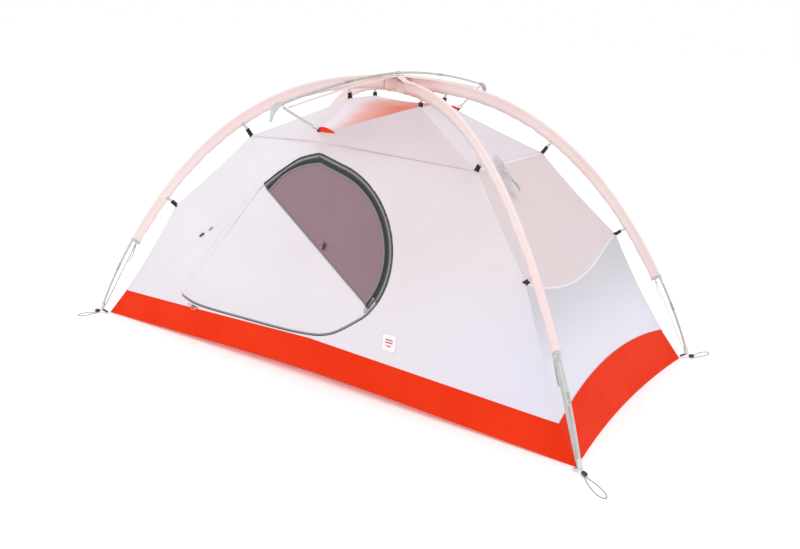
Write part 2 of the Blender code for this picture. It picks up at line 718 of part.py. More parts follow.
def build_clips(corner, quadrant):
    """A tab at each level, from the body's edge to a hook just short of the sleeve's edge."""
    tab, hook = (0.015, 0.0022), (0.010, 0.0036)
    foot_gap, hook_gap, hook_step = 0.003, 0.0015, 0.001
    for level, place in (("low", LOW_CLIP), ("mid", MID_CLIP), ("top", TOP_CLIP)):
        reach = nearest_reach(quadrant, place)
        pole = Vector((reach, hoop_height(reach, hoop_top(quadrant))))
        start = Vector(place)
        way = (pole - start).normalized()
        first = start + way * foot_gap
        last = pole - way * (sleeve_depth(reach) + hook_gap)
        middle = first.lerp(last, 0.60)
        path = [in_plane(quadrant, *p) for p in (first, middle, middle + way * hook_step, last)]
        facing = (path[-1] - path[0]).normalized().cross(beside_plane(quadrant))
        across = beside_plane(quadrant) * math.cos(CLIP_TWIST) + facing * math.sin(CLIP_TWIST)
        strap(f"{corner}_{level}_clip", path, [tab, tab, hook, hook], across, BLACK_WEBBING)


def buckle_bar(quadrant):
    """The buckle's upper bar, in the hoop plane."""
    end, tangent, inward = hoop_frame(quadrant, SLEEVE_END_REACH)
    return end + tangent * BUCKLE_BAR[0] + inward * BUCKLE_BAR[1]


def build_corner(corner, quadrant):
    """The cup on the pole's foot, with the strap that tensions the sleeve and ties in the floor."""
    centre, tangent, inward = hoop_frame(quadrant, POLE_FOOT_REACH)
    cup_top, cup_bottom, cup_taper = -0.024, 0.012, 0.0015
    bore_top, bore_bottom, bore_radius = -0.060, 0.0014, 0.0054

    def ring(along, radius, sides=12):
        at = centre + tangent * along
        return [in_plane(quadrant, *(at + inward * radius * math.cos(2 * math.pi * k / sides)),
                         radius * math.sin(2 * math.pi * k / sides)) for k in range(sides)]

    cup = loft(f"{corner}_corner_anchor", [ring(cup_top, CUP_RADIUS), ring(cup_bottom, CUP_RADIUS - cup_taper)],
               PALE_WEBBING)
    beside = beside_plane(quadrant)
    bar = buckle_bar(quadrant)
    grip = centre + inward * CUP_GRIP
    bend = Vector(STRAP_BEND)
    top = bar + (bend - bar).normalized() * (BUCKLE_LENGTH + 0.003)
    path = [grip + tangent * 0.010, grip - tangent * 0.012, bend, top]
    rise = strap(f"{corner}_rise_strap", [in_plane(quadrant, *p) for p in path], [(STRAP_WIDTH, WEBBING)],
                 beside, PALE_WEBBING)
    path = [Vector(FLOOR_TIE_END), grip + tangent * 0.006]
    tie = strap(f"{corner}_floor_tie", [in_plane(quadrant, *p) for p in path], [(STRAP_WIDTH, WEBBING)],
                beside, PALE_WEBBING)
    bore = loft(f"{corner}_cup_bore", [ring(bore_top, bore_radius), ring(bore_bottom, bore_radius)], None)
    for other, operation in ((rise, "UNION"), (tie, "UNION"), (bore, "DIFFERENCE")):
        PARTS.objects.unlink(other)
        CUTTERS.objects.link(as_cutter(other))
        boolean(cup, other, operation)


def build_ladder_lock(corner, quadrant):
    """A buckle that hangs from the sleeve's end and tilts on its upper bar to let the strap slip."""
    bar = buckle_bar(quadrant)
    foot, _, inward = hoop_frame(quadrant, POLE_FOOT_REACH)
    grip = foot + inward * CUP_GRIP
    pivot = joint_empty(f"{corner}_buckle_pivot", in_plane(quadrant, *bar))
    across = beside_plane(quadrant)
    downward = (in_plane(quadrant, *grip) - in_plane(quadrant, *bar)).normalized()
    place = Matrix((across, downward, across.cross(downward))).transposed().to_4x4()
    place.translation = in_plane(quadrant, *bar)
    half, edge, thick = 0.0105, 0.0025, 0.0026
    frame = [(-half, -0.002), (half, -0.002), (half, BUCKLE_LENGTH), (-half, BUCKLE_LENGTH)]
    slots = []
    for low, high in ((0.001, 0.007), (0.010, 0.016)):
        slots.append([(edge - half, low), (half - edge, low), (half - edge, high), (edge - half, high)])
    buckle = outline_curve(f"{corner}_ladder_lock", [frame, *slots], thick, BUCKLE_PLASTIC, place)
    hang(buckle, pivot)


def build_stake_loop(corner, quadrant):
    """A teardrop of cord lying on the ground, with both ends at the corner."""
    heading, length = STAKE_LOOPS[corner]
    along = Vector((math.cos(math.radians(heading)), math.sin(math.radians(heading)), 0.0))
    beside = Vector((-along.y, along.x, 0.0))
    start = in_plane(quadrant, 1.262, CORD_RADIUS + 0.0002)
    width, open_angle, steps = 0.020, 0.60, 22
    points = []
    for i in range(steps + 1):
        turn = open_angle + (2 * math.pi - 2 * open_angle) * i / steps
        out = length * (1 - math.cos(turn)) / 2
        points.append(start + along * out + beside * width * math.sin(turn) * math.sin(turn / 2))
    tube(f"{corner}_stake_loop", points, CORD_RADIUS, CORD_BRAID)


def build_guyline():
    """The cord between the two mid clips of the right end, and its spare length in a hank tied to it."""
    route = smooth([(0.522, -0.258, 0.806), (0.533, -0.195, 0.796), (0.5425, -0.125, 0.7825), (0.540, -0.040, 0.786),
                    (0.534, 0.090, 0.796), (0.522, 0.258, 0.806)], 6)
    tube("end_guyline", [Vector(p) for p in route], CORD_RADIUS, CORD_BRAID)
    half_long, half_wide, thick = 0.070, 0.028, 0.016
    ends = arc((half_long, 0.0), half_wide, -90, 90, 6) + arc((-half_long, 0.0), half_wide, 90, 270, 6)
    lean = Matrix.Rotation(math.radians(-42), 4, "Y")
    place = Matrix.Translation(HANK_CENTRE) @ lean @ Matrix.Rotation(math.pi / 2, 4, "Y")
    outline_curve("guyline_hank", [ends], thick, CORD_BRAID, place)


build_floor()
build_roof()
for side_name, side_matrix in SIDES.items():
    build_side_wall(side_name, side_matrix)
    build_door(side_name, side_matrix)
    build_sliders(side_name, side_matrix)
    build_upper(side_name, side_matrix)
for end_name, end_matrix in ENDS.items():
    build_end(end_name, end_matrix)
build_hoops()
build_sleeve_hub()
build_brow()
for corner_name, corner_quadrant in CORNERS.items():
    build_sleeve(corner_name, corner_quadrant)
    build_clips(corner_name, corner_quadrant)
    build_corner(corner_name, corner_quadrant)
    build_ladder_lock(corner_name, corner_quadrant)
    build_stake_loop(corner_name, corner_quadrant)
build_guyline()
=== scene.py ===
"""Looks of the dome tent: cloth, webbing, zips, cords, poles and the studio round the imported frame.

Metres, +Z up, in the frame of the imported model: X along the tent, the front door faces -Y.
Quadrants are (sign of x, sign of y). Lengths that repeat the frame's own design keep its names.
"""

import math

import bmesh
import bpy
import numpy as np
from mathutils import Matrix, Vector
from mathutils.bvhtree import BVHTree


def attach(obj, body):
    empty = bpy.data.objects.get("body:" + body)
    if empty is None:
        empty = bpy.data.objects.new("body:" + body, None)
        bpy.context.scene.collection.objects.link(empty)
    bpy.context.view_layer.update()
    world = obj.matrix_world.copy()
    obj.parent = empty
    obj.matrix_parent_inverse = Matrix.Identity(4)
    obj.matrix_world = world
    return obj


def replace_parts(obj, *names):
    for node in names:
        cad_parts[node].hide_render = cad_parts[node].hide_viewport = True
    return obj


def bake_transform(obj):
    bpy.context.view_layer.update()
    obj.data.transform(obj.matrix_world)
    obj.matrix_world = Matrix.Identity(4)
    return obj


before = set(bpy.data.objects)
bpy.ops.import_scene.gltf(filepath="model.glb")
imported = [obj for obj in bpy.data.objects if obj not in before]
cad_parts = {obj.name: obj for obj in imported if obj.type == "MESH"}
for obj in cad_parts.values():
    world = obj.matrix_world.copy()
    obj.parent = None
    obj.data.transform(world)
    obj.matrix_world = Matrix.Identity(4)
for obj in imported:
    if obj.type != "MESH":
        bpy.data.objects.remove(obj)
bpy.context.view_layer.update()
TENT = "tent_frame"

# The frame's driving dimensions.
FLOOR_LENGTH, FLOOR_WIDTH, FLOOR_END_BOW = 2.160, 1.106, 0.034
BAND_HEIGHT, BAND_END_RISE = 0.110, 0.050
FLOOR_SIDE_LIFT, BAND_SIDE_LIFT = 0.036, 0.030  # lift of a long side's lower and upper edge, at its middle
POLE_ANGLE = math.radians(27.8)
POLE_REACH, POLE_FOOT_REACH, POLE_RADIUS = 1.250, 1.243, 0.0045
UPPER_HOOP_HEIGHT, LOWER_HOOP_HEIGHT = 1.066, 1.054
HOOP_BASE_POWER, HOOP_CROWN_POWER = 2.4, 0.893
BROW_REACH, BROW_HEIGHT, BROW_DROP, BROW_POWER = 0.683, 1.083, 0.074, 1.8
SLEEVE_END_REACH, SLEEVE_TOP_REACH = 1.090, 0.050
SLEEVE_LOW_DEPTH, SLEEVE_TOP_DEPTH = 0.034, 0.046
BAND_CORNER = (1.130, BAND_HEIGHT)  # (distance from the centre, height) in a hoop's plane
LOW_CLIP, MID_CLIP, TOP_CLIP = (0.896, 0.502), (0.577, 0.807), (0.183, 0.977)
CLIPS = {"low": LOW_CLIP, "mid": MID_CLIP, "top": TOP_CLIP}
BROW_CLIP, BROW_SEAM, BROW_TAB = (0.485, 0.899), (0.480, 0.868), 0.010
HIP_SAG = 0.008
DOOR_FOOT_Y, DOOR_LEAN = -0.538, 0.110
DOOR_CENTRE, DOOR_RADIUS, WINDOW_RADIUS = (0.0186, 0.4964), 0.305, 0.270
HINGE_FOOT, HINGE_HEAD = (-0.667, 0.163), (-0.272, 0.677)
WINDOW_SILL_LOW, WINDOW_SILL_HIGH = (0.250, 0.309), (-0.256, 0.657)
DOOR_GAP, FLAP_DEPTH = 0.0030, 0.012
PATH_STEPS, ARC_STEPS = 12, 64
ARC_TOP, SILL_ANGLE = 74, -39.5  # degrees round the door's centre, where its arc starts and meets the sill
CORD_RADIUS = 0.0010

# The guyline's spare length, tied in a hank. HANK_LOOP has (share of a turn's length, share of its width).
HANK_CENTRE, HANK_LEAN = Vector((0.5565, -0.125, 0.782)), math.radians(-42)
HANK_TURNS, HANK_PITCH, HANK_NECK = 6, 0.0022, 0.0038
HANK_LOOP = ((0, 1), (0.6, 1), (0.93, 0.6), (1, 0), (0.93, -0.6), (0.6, -1))
WRAPS, WRAP_STEPS, WRAP_START, WRAP_WIDE, WRAP_THICK = 5, 8, -0.0065, 0.0075, 0.0090

# How the cloth is made.
SOFT_EDGE, FIRM_EDGE = math.radians(50), math.radians(40)  # angles past which an edge stays sharp
TAPE_CROWN, TAPE_SINK = 0.86, 0.0002  # share of a tape's width that is raised, depth of its underside
DOOR_PULL, WINDOW_PULL = (-0.600, 0.1315), math.radians(-30)  # where the sliders stand at rest
PULL_REACH = 0.029  # from the middle of the door's slider to the hole of its tab
CLOTH = 0.0004  # thickness of a panel
RELAX_STEPS = 300
WALL_FINE, END_FINE = 11, 10  # fine cells in each cell of the stretched grid
SEAM_WIDTH, SEAM_RISE = 0.007, 0.0004
CLIP_TWIST = math.radians(-58)  # turn of a clip's tab from square across its hoop

CORNERS = {"front_left": (-1, -1), "front_right": (1, -1), "back_right": (1, 1), "back_left": (-1, 1)}
HALF_TURN = Matrix.Rotation(math.pi, 4, "Z")
SIDES = {"front": Matrix.Identity(4), "back": HALF_TURN}
ENDS = {"right": Matrix.Identity(4), "left": HALF_TURN}
STAKE_LOOPS = {"front_left": (-112, 0.085), "front_right": (-40, 0.130),
               "back_right": (68, 0.115), "back_left": (150, 0.110)}


# Camera.
def build_camera():
    """Stands at the front right, a little above the tent, with a slight roll."""
    yaw, pitch, roll = math.radians(32.35), math.radians(17.32), math.radians(2.73)
    forward = Vector((-math.sin(yaw) * math.cos(pitch), math.cos(yaw) * math.cos(pitch), -math.sin(pitch)))
    right = Vector((math.cos(yaw), math.sin(yaw), 0.0))
    up = right.cross(forward)
    across = right * math.cos(roll) + up * math.sin(roll)
    upward = up * math.cos(roll) - right * math.sin(roll)
    data = bpy.data.cameras.new("camera")
    data.sensor_width = 36.0
    data.lens = 38.81
    camera = bpy.data.objects.new("camera", data)
    bpy.context.scene.collection.objects.link(camera)
    camera.matrix_world = Matrix((across, upward, -forward)).transposed().to_4x4()
    camera.location = (1.863, -2.858, 1.332)
    bpy.context.scene.camera = camera


# Curves of the frame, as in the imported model's design.
def hoop_height(reach, top):
    return top * (1 - (abs(reach) / POLE_REACH) ** HOOP_BASE_POWER) ** HOOP_CROWN_POWER


def hoop_top(quadrant):
    return UPPER_HOOP_HEIGHT if quadrant[0] == quadrant[1] else LOWER_HOOP_HEIGHT


def side_lift(t):
    """Share of the lift of a long side of the floor, from 0 at its ends (-1 and 1) to 1 in its middle."""
    return (1 - abs(t)) ** 1.1


def band_top(t):
    """The upper edge of the front side of the floor, from its left end (-1) to its right end (1)."""
    corner = in_plane((1, 1), *BAND_CORNER)
    lift = BAND_SIDE_LIFT * side_lift(t)
    return Vector((corner.x * t, -corner.y + DOOR_LEAN * lift, BAND_HEIGHT + lift))


def stations(start, end, steps):
    low, high = math.asin(start / POLE_REACH), math.asin(end / POLE_REACH)
    return [POLE_REACH * math.sin(low + (high - low) * i / steps) for i in range(steps + 1)]


def in_plane(quadrant, reach, height, aside=0.0):
    """World point from a place in the hoop plane of one quadrant."""
    angle = math.atan2(quadrant[1] * math.sin(POLE_ANGLE), quadrant[0] * math.cos(POLE_ANGLE))
    along = Vector((math.cos(angle), math.sin(angle), 0.0))
    beside = Vector((-along.y, along.x, 0.0))
    return along * reach + beside * aside + Vector((0.0, 0.0, height))


def hoop_frame(quadrant, reach):
    """Point, tangent and inward normal of a hoop, in the hoop's plane."""
    top, step = hoop_top(quadrant), 1e-4
    here = Vector((reach, hoop_height(reach, top)))
    ahead = Vector((reach + step, hoop_height(reach + step, top)))
    tangent = (ahead - here).normalized()
    return here, tangent, Vector((tangent.y, -tangent.x))


def nearest_reach(quadrant, place):
    reaches = np.linspace(0.05, 1.2, 2301)
    heights = hoop_height(reaches, hoop_top(quadrant))
    return float(reaches[np.argmin(np.hypot(reaches - place[0], heights - place[1]))])


def sleeve_depth(reach):
    t = (SLEEVE_END_REACH - reach) / (SLEEVE_END_REACH - SLEEVE_TOP_REACH)
    return SLEEVE_LOW_DEPTH + (SLEEVE_TOP_DEPTH - SLEEVE_LOW_DEPTH) * t


def brow_height(y):
    return BROW_HEIGHT - BROW_DROP * (abs(y) / BROW_REACH) ** BROW_POWER


def hip_points(quadrant, knots, steps):
    """The edge of the tent body under a hoop, sagging a little between its clips."""
    points = []
    for start, end in zip(knots, knots[1:]):
        for i in range(steps):
            t = i / steps
            reach = start[0] + (end[0] - start[0]) * t - HIP_SAG * 4 * t * (1 - t)
            points.append(in_plane(quadrant, reach, start[1] + (end[1] - start[1]) * t))
    points.append(in_plane(quadrant, *knots[-1]))
    return np.array(points)


def travelled(points):
    """Distance along a line at each of its points, from 0 at the first."""
    return np.concatenate([[0.0], np.cumsum(np.linalg.norm(np.diff(points, axis=0), axis=1))])


def resample(points, count):
    points = np.array(points, float)
    at = travelled(points)
    wanted = np.linspace(0.0, at[-1], count)
    return np.stack([np.interp(wanted, at, points[:, k]) for k in range(points.shape[1])], axis=1)


def along(knots, counts):
    """Points along a polyline that keep its knots, with counts steps in each span."""
    points = [np.array(knots[0], float)]
    for start, end, count in zip(knots, knots[1:], counts):
        start, end = np.array(start, float), np.array(end, float)
        points += [start + (end - start) * (i + 1) / count for i in range(count)]
    return np.array(points)


def smooth(points, per_span):
    """A Catmull-Rom curve through the points."""
    points = np.array(points, float)
    last, out = len(points) - 1, []
    for i in range(last):
        a, b, c, d = (points[min(max(i + k, 0), last)] for k in (-1, 0, 1, 2))
        for j in range(per_span):
            t = j / per_span
            out.append(0.5 * (2 * b + (c - a) * t + (2 * a - 5 * b + 4 * c - d) * t**2
                              + (3 * b - a - 3 * c + d) * t**3))
    out.append(points[-1])
    return np.array(out)


def arc(centre, radius, start, end, steps):
    angles = np.radians(np.linspace(start, end, steps + 1))
    return [(centre[0] + radius * math.cos(a), centre[1] + radius * math.sin(a)) for a in angles]


def turned(points, matrix):
    """Points, of any array shape, moved by a matrix."""
    points = np.array(points, float)
    m = np.array(matrix)
    return points @ m[:3, :3].T + m[:3, 3]


# The door's plane.
DOOR_ALONG = Vector((1.0, 0.0, 0.0))
DOOR_UP = Vector((0.0, DOOR_LEAN, 1.0)).normalized()
DOOR_OUT = DOOR_ALONG.cross(DOOR_UP)


def door_points(flat, outward=0.0):
    """Door plane places, an array of (x, up), as world points."""
    flat = np.array(flat, float)
    return (np.array((0.0, DOOR_FOOT_Y, 0.0)) + flat[..., :1] * np.array(DOOR_ALONG)
            + flat[..., 1:2] * np.array(DOOR_UP) + np.array(outward)[..., None] * np.array(DOOR_OUT))


def door_zip_path():
    """The door's zip from the head of the hinge, over and down the round side, and along the foot."""
    over = smooth([HINGE_HEAD, (-0.190, 0.741), (-0.111, 0.793), (-0.023, 0.822)], PATH_STEPS)
    right = arc(DOOR_CENTRE, DOOR_RADIUS, ARC_TOP, -48, ARC_STEPS)
    under = smooth([right[-1], (0.092, 0.182), (-0.050, 0.153), (-0.300, 0.144), (-0.563, 0.142),
                    HINGE_FOOT], 10)
    return np.array([*over, *right, *under[1:]])


def window_zip_path():
    """The window's edge from the sill's high end over the peak and round to the sill's low end."""
    over = smooth([(-0.2475, 0.6512), (-0.178, 0.722), (-0.098, 0.766), (-0.018, 0.787)], PATH_STEPS)
    return np.array([*over, *arc(DOOR_CENTRE, WINDOW_RADIUS, ARC_TOP, SILL_ANGLE, ARC_STEPS)])


def door_zip_over_window():
    """The part of the door's zip that runs beside the window's, point for point."""
    over = door_zip_path()[:3 * PATH_STEPS + 1]
    return np.array([*over, *arc(DOOR_CENTRE, DOOR_RADIUS, ARC_TOP, SILL_ANGLE, ARC_STEPS)])


def offset_path(path, amount):
    """An open or closed plane path moved to its left by amount."""
    ahead = np.gradient(path, axis=0)
    ahead /= np.linalg.norm(ahead, axis=1, keepdims=True)
    return path + amount * np.stack([-ahead[:, 1], ahead[:, 0]], axis=1)


# Materials.
class Shader:
    """A Principled material under construction."""

    def __init__(self, name, roughness, **sockets):
        self.material = bpy.data.materials.new(name)
        self.material.use_nodes = True
        self.tree = self.material.node_tree
        self.main = self.tree.nodes["Principled BSDF"]
        self.main.inputs["Roughness"].default_value = roughness
        for socket, value in sockets.items():
            self.main.inputs[socket.replace("_", " ")].default_value = value

    def node(self, kind, **values):
        made = self.tree.nodes.new(kind)
        for key, value in values.items():
            setattr(made, key, value)
        return made

    def link(self, source, target):
        self.tree.links.new(source, target)

    def coordinates(self, which):
        return self.node("ShaderNodeTexCoord").outputs[which]

    def math(self, operation, first, second=0.0, third=0.0):
        made = self.node("ShaderNodeMath", operation=operation)
        for socket, value in zip(made.inputs, (first, second, third)):
            if isinstance(value, (int, float)):
                socket.default_value = value
            else:
                self.link(value, socket)
        return made.outputs[0]

    def ramp(self, value, low, high):
        """0 at low, 1 at high, smooth in between."""
        made = self.node("ShaderNodeMapRange", interpolation_type="SMOOTHSTEP")
        self.link(value, made.inputs["Value"])
        made.inputs["From Min"].default_value = low
        made.inputs["From Max"].default_value = high
        return made.outputs[0]

    def split(self, vector):
        made = self.node("ShaderNodeSeparateXYZ")
        self.link(vector, made.inputs[0])
        return made.outputs

    def mix(self, share, first, second):
        made = self.node("ShaderNodeMix", data_type="RGBA")
        for socket, value in zip((made.inputs[0], made.inputs[6], made.inputs[7]), (share, first, second)):
            if isinstance(value, (int, float)):
                socket.default_value = value
            elif isinstance(value, tuple):
                socket.default_value = (*value, 1.0)
            else:
                self.link(value, socket)
        return made.outputs[2]

    def noise(self, scale, detail=3.0, stretch=None, vector=None):
        vector = vector or self.coordinates("Object")
        if stretch:
            mapping = self.node("ShaderNodeMapping")
            mapping.inputs["Scale"].default_value = stretch
            self.link(vector, mapping.inputs["Vector"])
            vector = mapping.outputs[0]
        made = self.node("ShaderNodeTexNoise")
        made.inputs["Scale"].default_value = scale
        made.inputs["Detail"].default_value = detail
        self.link(vector, made.inputs["Vector"])
        return made.outputs["Fac"]

    def bump(self, height, strength, distance):
        made = self.node("ShaderNodeBump")
        made.inputs["Strength"].default_value = strength
        made.inputs["Distance"].default_value = distance
        self.link(height, made.inputs["Height"])
        self.link(made.outputs[0], self.main.inputs["Normal"])

    def color(self, source):
        if isinstance(source, tuple):
            self.main.inputs["Base Color"].default_value = (*source, 1.0)
        else:
            self.link(source, self.main.inputs["Base Color"])


def cell_lines(shader, axis_value, cell, share):
    """1 on thin lines one cell apart, for a ripstop grid."""
    place = shader.math("FRACT", shader.math("DIVIDE", axis_value, cell))
    centred = shader.math("ABSOLUTE", shader.math("SUBTRACT", place, 0.5))
    return shader.ramp(centred, 0.5 - share, 0.5 - share / 2)


def ripstop(name, color_of, roughness, cell=0.006, line=0.10, **sockets):
    """Thin nylon: a grid of heavier yarns, fine yarn relief and soft creases. color_of builds its colour."""
    gloss = {"Sheen_Weight": 0.12, "Sheen_Roughness": 0.4, "Specular_IOR_Level": 0.30, **sockets}
    shader = Shader(name, roughness, **gloss)
    u, v, _ = shader.split(shader.coordinates("UV"))
    grid = shader.math("MAXIMUM", cell_lines(shader, u, cell, line), cell_lines(shader, v, cell, line))
    base = color_of(shader)
    darker = shader.node("ShaderNodeHueSaturation")
    darker.inputs["Value"].default_value = 0.972
    shader.link(base, darker.inputs["Color"])
    shader.color(shader.mix(grid, base, darker.outputs[0]))
    creases = shader.noise(26.0, 5.0, (1.0, 1.0, 1.6))
    yarn = shader.noise(900.0, 2.0)
    height = shader.math("ADD", shader.math("MULTIPLY", creases, 1.0), shader.math("MULTIPLY", yarn, 0.10))
    shader.bump(shader.math("ADD", height, shader.math("MULTIPLY", grid, 0.05)), 0.35, 0.004)
    return shader.material


def blotched(first, second, scale=2.5):
    """A colour that drifts between two tones over the cloth."""
    def build(shader):
        share = shader.ramp(shader.noise(scale, 2.0), 0.35, 0.65)
        return shader.mix(share, first, second)
    return build


def wall_tones(shader):
    """White cloth, lavender at its right foot and faintly pink under the orange roof, with painted shade that
    makes its top under the roof darker and rosier.
    """
    x, _, z = shader.split(shader.coordinates("Object"))
    white = blotched((0.730, 0.690, 0.745), (0.750, 0.710, 0.765))(shader)
    rosy = blotched((0.705, 0.635, 0.670), (0.730, 0.665, 0.700))(shader)
    lavender = blotched((0.700, 0.680, 0.785), (0.725, 0.695, 0.795))(shader)
    warm = shader.math("MULTIPLY", shader.ramp(x, -0.50, 0.35), shader.ramp(z, 0.10, 0.55))
    upper = shader.mix(warm, white, rosy)
    # Painted shade: the top of the wall under the roof is darker and rosier.
    high = shader.math("MULTIPLY", shader.ramp(x, -0.30, 0.10), shader.ramp(z, 0.72, 0.92))
    upper = shader.mix(high, upper, blotched((0.650, 0.545, 0.580), (0.680, 0.580, 0.610))(shader))
    low = shader.math("MULTIPLY", shader.ramp(x, 0.25, 0.95), shader.ramp(z, 0.62, 0.22))
    return shader.mix(low, upper, lavender)


def roof_tones(shader):
    """Orange cloth that fades to white towards its left."""
    x, y, _ = shader.split(shader.coordinates("Object"))
    outward = shader.math("SUBTRACT", shader.math("ABSOLUTE", y), 0.085)
    drift = shader.math("SUBTRACT", x, shader.math("MULTIPLY", outward, 0.30))
    drift = shader.math("ADD", drift,
                        shader.math("MULTIPLY", shader.math("SUBTRACT", shader.noise(7.0), 0.5), 0.06))
    pale = shader.mix(shader.ramp(drift, -0.12, -0.02), (0.80, 0.74, 0.79), (0.78, 0.36, 0.30))
    return shader.mix(shader.ramp(drift, -0.04, 0.11), pale, (0.77, 0.145, 0.083))


def end_tones(shader):
    """Cool white cloth, brighter at its foot and greyer upwards towards the vent seam under the hood, which
    is painted shade.
    """
    z = shader.split(shader.coordinates("Object"))[2]
    foot = blotched((0.745, 0.735, 0.835), (0.725, 0.715, 0.805))(shader)
    vent = blotched((0.555, 0.540, 0.590), (0.580, 0.560, 0.610))(shader)
    # Painted shade: greyer upwards towards the vent seam, under the hood.
    return shader.mix(shader.ramp(z, 0.18, 0.46), foot, vent)


def insect_mesh():
    """Mauve netting, slightly see-through, with a fine hole pattern."""
    shader = Shader("insect_mesh", 0.85, Sheen_Weight=0.15, Sheen_Roughness=0.5, Specular_IOR_Level=0.2,
                    Alpha=0.96)
    base = blotched((0.280, 0.180, 0.190), (0.325, 0.215, 0.230), 3.0)(shader)
    u, v, _ = shader.split(shader.coordinates("UV"))
    holes = shader.math("MAXIMUM", cell_lines(shader, u, 0.0022, 0.28), cell_lines(shader, v, 0.0022, 0.28))
    shader.color(shader.mix(holes, base, (0.270, 0.175, 0.210)))
    shader.bump(shader.math("ADD", holes, shader.noise(40.0, 4.0)), 0.3, 0.0015)
    return shader.material


def webbing(name, tone, second, roughness=0.75):
    """Narrow-woven tape: ribs across it and two edge ridges."""
    shader = Shader(name, roughness, Sheen_Weight=0.3, Sheen_Roughness=0.4, Specular_IOR_Level=0.3)
    u, v, _ = shader.split(shader.coordinates("UV"))
    ribs = shader.math("ABSOLUTE", shader.math("SINE", shader.math("MULTIPLY", v, math.pi / 0.0012)))
    yarn = shader.math("ABSOLUTE", shader.math("SINE", shader.math("MULTIPLY", u, math.pi / 0.0009)))
    relief = shader.math("MULTIPLY", ribs, shader.math("ADD", shader.math("MULTIPLY", yarn, 0.5), 0.5))
    shader.color(shader.mix(relief, second, tone))
    shader.bump(relief, 0.6, 0.0004)
    return shader.material


def braid(name, tone, second):
    """Braided cord: two families of strands crossing on a slant."""
    shader = Shader(name, 0.7, Sheen_Weight=0.3, Specular_IOR_Level=0.3)
    strands = shader.noise(1400.0, 1.0)
    shader.color(shader.mix(shader.ramp(strands, 0.42, 0.58), second, tone))
    shader.bump(strands, 0.6, 0.0005)
    return shader.material


def moulded(name, tone, roughness):
    """Moulded plastic with a fine spark texture and slightly uneven gloss."""
    shader = Shader(name, roughness, Specular_IOR_Level=0.5)
    share = shader.ramp(shader.noise(60.0, 4.0), 0.3, 0.7)
    shader.color(shader.mix(share, tone, tuple(c * 0.86 for c in tone)))
    shader.link(shader.math("ADD", shader.math("MULTIPLY", share, 0.12), roughness - 0.06),
                shader.main.inputs["Roughness"])
    shader.bump(shader.noise(2500.0, 2.0), 0.25, 0.0002)
    return shader.material


def drawn_metal(name, tone, roughness):
    """Anodised or plated metal with fine draw lines and a little rubbed wear."""
    shader = Shader(name, roughness, Metallic=1.0)
    lines = shader.noise(700.0, 2.0, (1.0, 1.0, 0.15))
    worn = shader.ramp(shader.noise(30.0, 6.0), 0.52, 0.70)
    shader.color(shader.mix(worn, tone, tuple(min(1.0, c * 1.10 + 0.03) for c in tone)))
    shader.link(shader.math("ADD", shader.math("MULTIPLY", worn, 0.14), roughness),
                shader.main.inputs["Roughness"])
    shader.bump(lines, 0.15, 0.0002)
    return shader.material


def ground_material():
    shader = Shader("studio_floor", 0.9, Specular_IOR_Level=0.1)
    shader.color(shader.mix(shader.noise(3.0), (0.93, 0.93, 0.93), (0.95, 0.95, 0.95)))
    shader.main.inputs["Emission Color"].default_value = (1.0, 1.0, 1.0, 1.0)
    shader.main.inputs["Emission Strength"].default_value = 0.16
    return shader.material


MAT = {
    "wall": ripstop("wall_nylon", wall_tones, 0.55),
    "end_upper": ripstop("end_upper_nylon", blotched((0.700, 0.580, 0.592), (0.680, 0.600, 0.635)), 0.55),
    "end_lower": ripstop("end_lower_nylon", end_tones, 0.55),
    "hood": ripstop("hood_nylon", blotched((0.720, 0.620, 0.680), (0.740, 0.680, 0.730)), 0.55),
    "roof": ripstop("roof_nylon", roof_tones, 0.50),
    "floor": ripstop("floor_nylon", blotched((0.800, 0.037, 0.007), (0.765, 0.031, 0.005), 5.0), 0.60,
                     Sheen_Weight=0.0, Specular_IOR_Level=0.06),
    "sleeve": ripstop("sleeve_nylon", blotched((0.850, 0.725, 0.700), (0.845, 0.680, 0.665), 3.0), 0.60,
                      Sheen_Weight=0.0),
    "tab": ripstop("roof_tab_nylon", blotched((0.800, 0.040, 0.012), (0.760, 0.035, 0.010), 9.0), 0.60,
                   Sheen_Weight=0.0, Specular_IOR_Level=0.08),
    "seam": ripstop("seam_tape", blotched((0.780, 0.740, 0.790), (0.800, 0.770, 0.815)), 0.60),
    "mesh": insect_mesh(),
    "zip_grey": webbing("zip_tape_grey", (0.275, 0.275, 0.280), (0.200, 0.200, 0.205)),
    "zip_dark": webbing("zip_tape_dark", (0.060, 0.060, 0.065), (0.030, 0.030, 0.033)),
    "coil": moulded("zip_coil", (0.020, 0.020, 0.022), 0.40),
    "black": webbing("webbing_black", (0.022, 0.021, 0.023), (0.010, 0.010, 0.011)),
    "pale": webbing("webbing_pale", (0.640, 0.650, 0.640), (0.520, 0.530, 0.525)),
    "grey_plastic": moulded("acetal_grey", (0.540, 0.550, 0.550), 0.40),
    "white_plastic": moulded("acetal_white", (0.740, 0.745, 0.750), 0.40),
    "hook_plastic": moulded("acetal_pale", (0.600, 0.605, 0.600), 0.40),
    "dark_plastic": moulded("acetal_dark", (0.030, 0.028, 0.030), 0.35),
    "pole": drawn_metal("pole_alloy", (0.560, 0.575, 0.565), 0.45),
    "ferrule": drawn_metal("ferrule_alloy", (0.420, 0.430, 0.430), 0.40),
    "slider": drawn_metal("slider_metal", (0.230, 0.230, 0.240), 0.35),
    "cord": braid("guy_cord", (0.780, 0.785, 0.790), (0.600, 0.600, 0.610)),
    "dark_cord": braid("loop_cord", (0.060, 0.058, 0.062), (0.020, 0.020, 0.022)),
    "crimson_cord": braid("toggle_cord", (0.200, 0.016, 0.040), (0.120, 0.010, 0.024)),
    "red_cord": braid("pull_cord", (0.760, 0.110, 0.090), (0.850, 0.480, 0.440)),
    "label": webbing("label_cloth", (0.900, 0.895, 0.900), (0.860, 0.855, 0.865)),
    "label_mark": webbing("label_print", (0.620, 0.080, 0.100), (0.540, 0.060, 0.080)),
}


